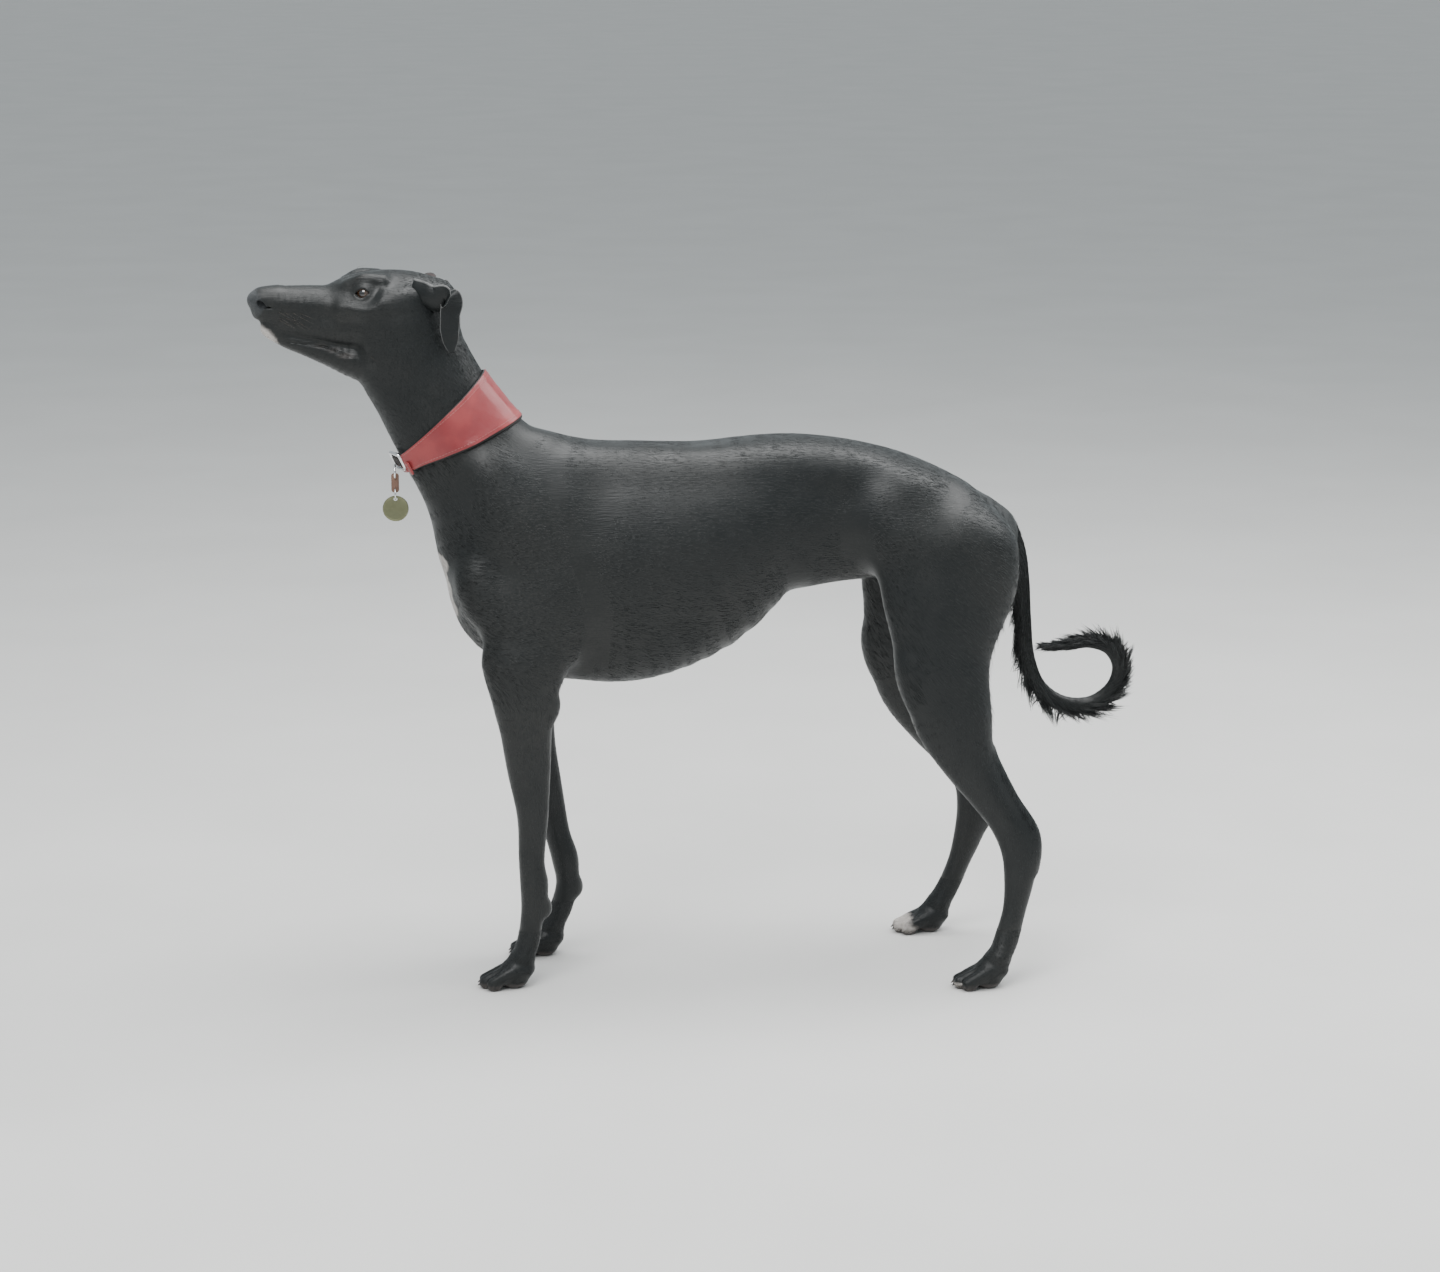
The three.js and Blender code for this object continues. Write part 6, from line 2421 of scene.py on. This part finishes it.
LAMPS = [
    Lamp("key", (-1.2, -2.6, 3.4), 2.2, 145), Lamp("top", (0.35, 0.1, 3.4), 2.4, 170),
    Lamp("rim", (2.3, 0.5, 2.8), 2.0, 80),
]
FLOOR_REACH = 30
WORLD_COLOUR, WORLD_STRENGTH = (0.84, 0.91, 0.95, 1), 0.75
CAMERA_AT, CAMERA_TURN, LENS = (-0.3565, -4.0744, 1.400), (76.73, 0, -5), 83.25


def stage() -> None:
    """The floor, the soft lights and the camera."""
    material, nodes, shader = new_material(Look("floor", (0.62, 0.61, 0.59), 0.7))
    at = nodes.here()
    nodes.link(nodes.mix(nodes.noise(at, 3.0, 5), (0.52, 0.515, 0.50, 1), (0.60, 0.595, 0.58, 1)),
                         shader.inputs["Base Color"])
    mesh = bpy.data.meshes.new("floor")
    r = FLOOR_REACH
    mesh.from_pydata([(-r, -r, 0), (r, -r, 0), (r, r, 0), (-r, r, 0)], [], [(0, 1, 2, 3)])
    mesh.materials.append(material)
    floor = bpy.data.objects.new("floor", mesh)
    bpy.context.scene.collection.objects.link(floor)
    floor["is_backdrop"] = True
    world = bpy.data.worlds.new("studio")
    bpy.context.scene.world = world
    world.use_nodes = True
    sky = world.node_tree.nodes["Background"].inputs
    sky[0].default_value, sky[1].default_value = WORLD_COLOUR, WORLD_STRENGTH
    for lamp in LAMPS:
        light = bpy.data.lights.new(lamp.name, "AREA")
        light.size, light.energy = lamp.size, lamp.power
        made = bpy.data.objects.new(lamp.name, light)
        made.location = lamp.place
        made.rotation_euler = (Vector((0, 0, 0.5)) - Vector(lamp.place)).to_track_quat("-Z", "Y").to_euler()
        bpy.context.scene.collection.objects.link(made)
    camera = bpy.data.cameras.new("camera")
    camera.lens, camera.sensor_width = LENS, 36
    viewer = bpy.data.objects.new("camera", camera)
    viewer.location = (CAMERA_AT[0] + SHIFT[0] * MM, *CAMERA_AT[1:])
    viewer.rotation_euler = [math.radians(turn) for turn in CAMERA_TURN]
    bpy.context.scene.collection.objects.link(viewer)
    bpy.context.scene.camera = viewer


def main() -> None:
    """Builds the dog and its stage."""
    kit = Kit()
    coat = Coat(kit)
    head = Skin(kit, "head_skin", head_skin_value, ((-600, -95, 650), (-260, 95, 940)), 1.4, ["head"],
                head_growth, calm=4, even=face_share)
    body_nodes = ["torso", "neck"]
    for name in SIDES:
        body_nodes += [f"{name}_{part}" for part in ("foreleg", "thigh", "shank", "rear_pastern")]
    body = Skin(kit, "body_skin", body_skin_value, ((-400, -160, 64), (412, 160, 770)), 3.1, body_nodes,
                body_growth, calm=28, even=trunk_share, combed=flow)
    feet = []
    for paw in PAWS:
        x, y = paw.heel
        box = ((x - 76, y - 36, -4), (x + 40, y + 36, FOOT_TOP + 9))
        feet.append(Skin(kit, f"{paw.name}_skin", foot_skin_value, box, 1.5, [paw.name], foot_growth))
    tail_nodes = ["tail_root", "tail_middle", "tail_curl", "tail_tip"]
    tail = Skin(kit, "tail_skin", tail_value, ((325, -45, 300), (530, 40, 610)), 2.0, tail_nodes,
                lambda p, n: np.full(len(p), 0.9) * (p[:, 0] > 352), calm=6)
    Ears(kit)
    Eyes(kit)
    Claws(kit)
    Collar(kit)
    whiskers(kit)
    for i in range(4):
        coat.grow(body, TuftLayer(f"body_coat_{i + 1}", 21500, 0.0100, 0.00052, 0.00013, SEED + i))
    for i in range(2):
        coat.grow(head, TuftLayer(f"head_coat_{i + 1}", 20000, 0.0065, 0.00042, 0.00018, SEED + 10 + i))
    for i, foot in enumerate(feet):
        coat.grow(foot, TuftLayer(f"{PAWS[i].name}_coat", 5000, 0.009, 0.0006, 0.0004, SEED + 20 + i))
    coat.grow(tail, TuftLayer("tail_coat", 11000, 0.015, 0.0007, 0.0007, SEED + 30))
    locks = Locks(kit)
    locks.tail_fringe()
    for name, s in SIDES.items():
        hind = HINDLEG[name]
        behind = [(hind[k][0] + hind[k][4], s * hind[k][1], hind[k][2]) for k in (0, 1, 2, 3, 4)]
        locks.contour(f"{name}_thigh_wisps", 260, behind, (0.25, 0, -1), 15, 7)
    stage()
    low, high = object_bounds()
    SIZES["finished"] = [list(low), list(high)]


if __name__ == "__main__":
    main()
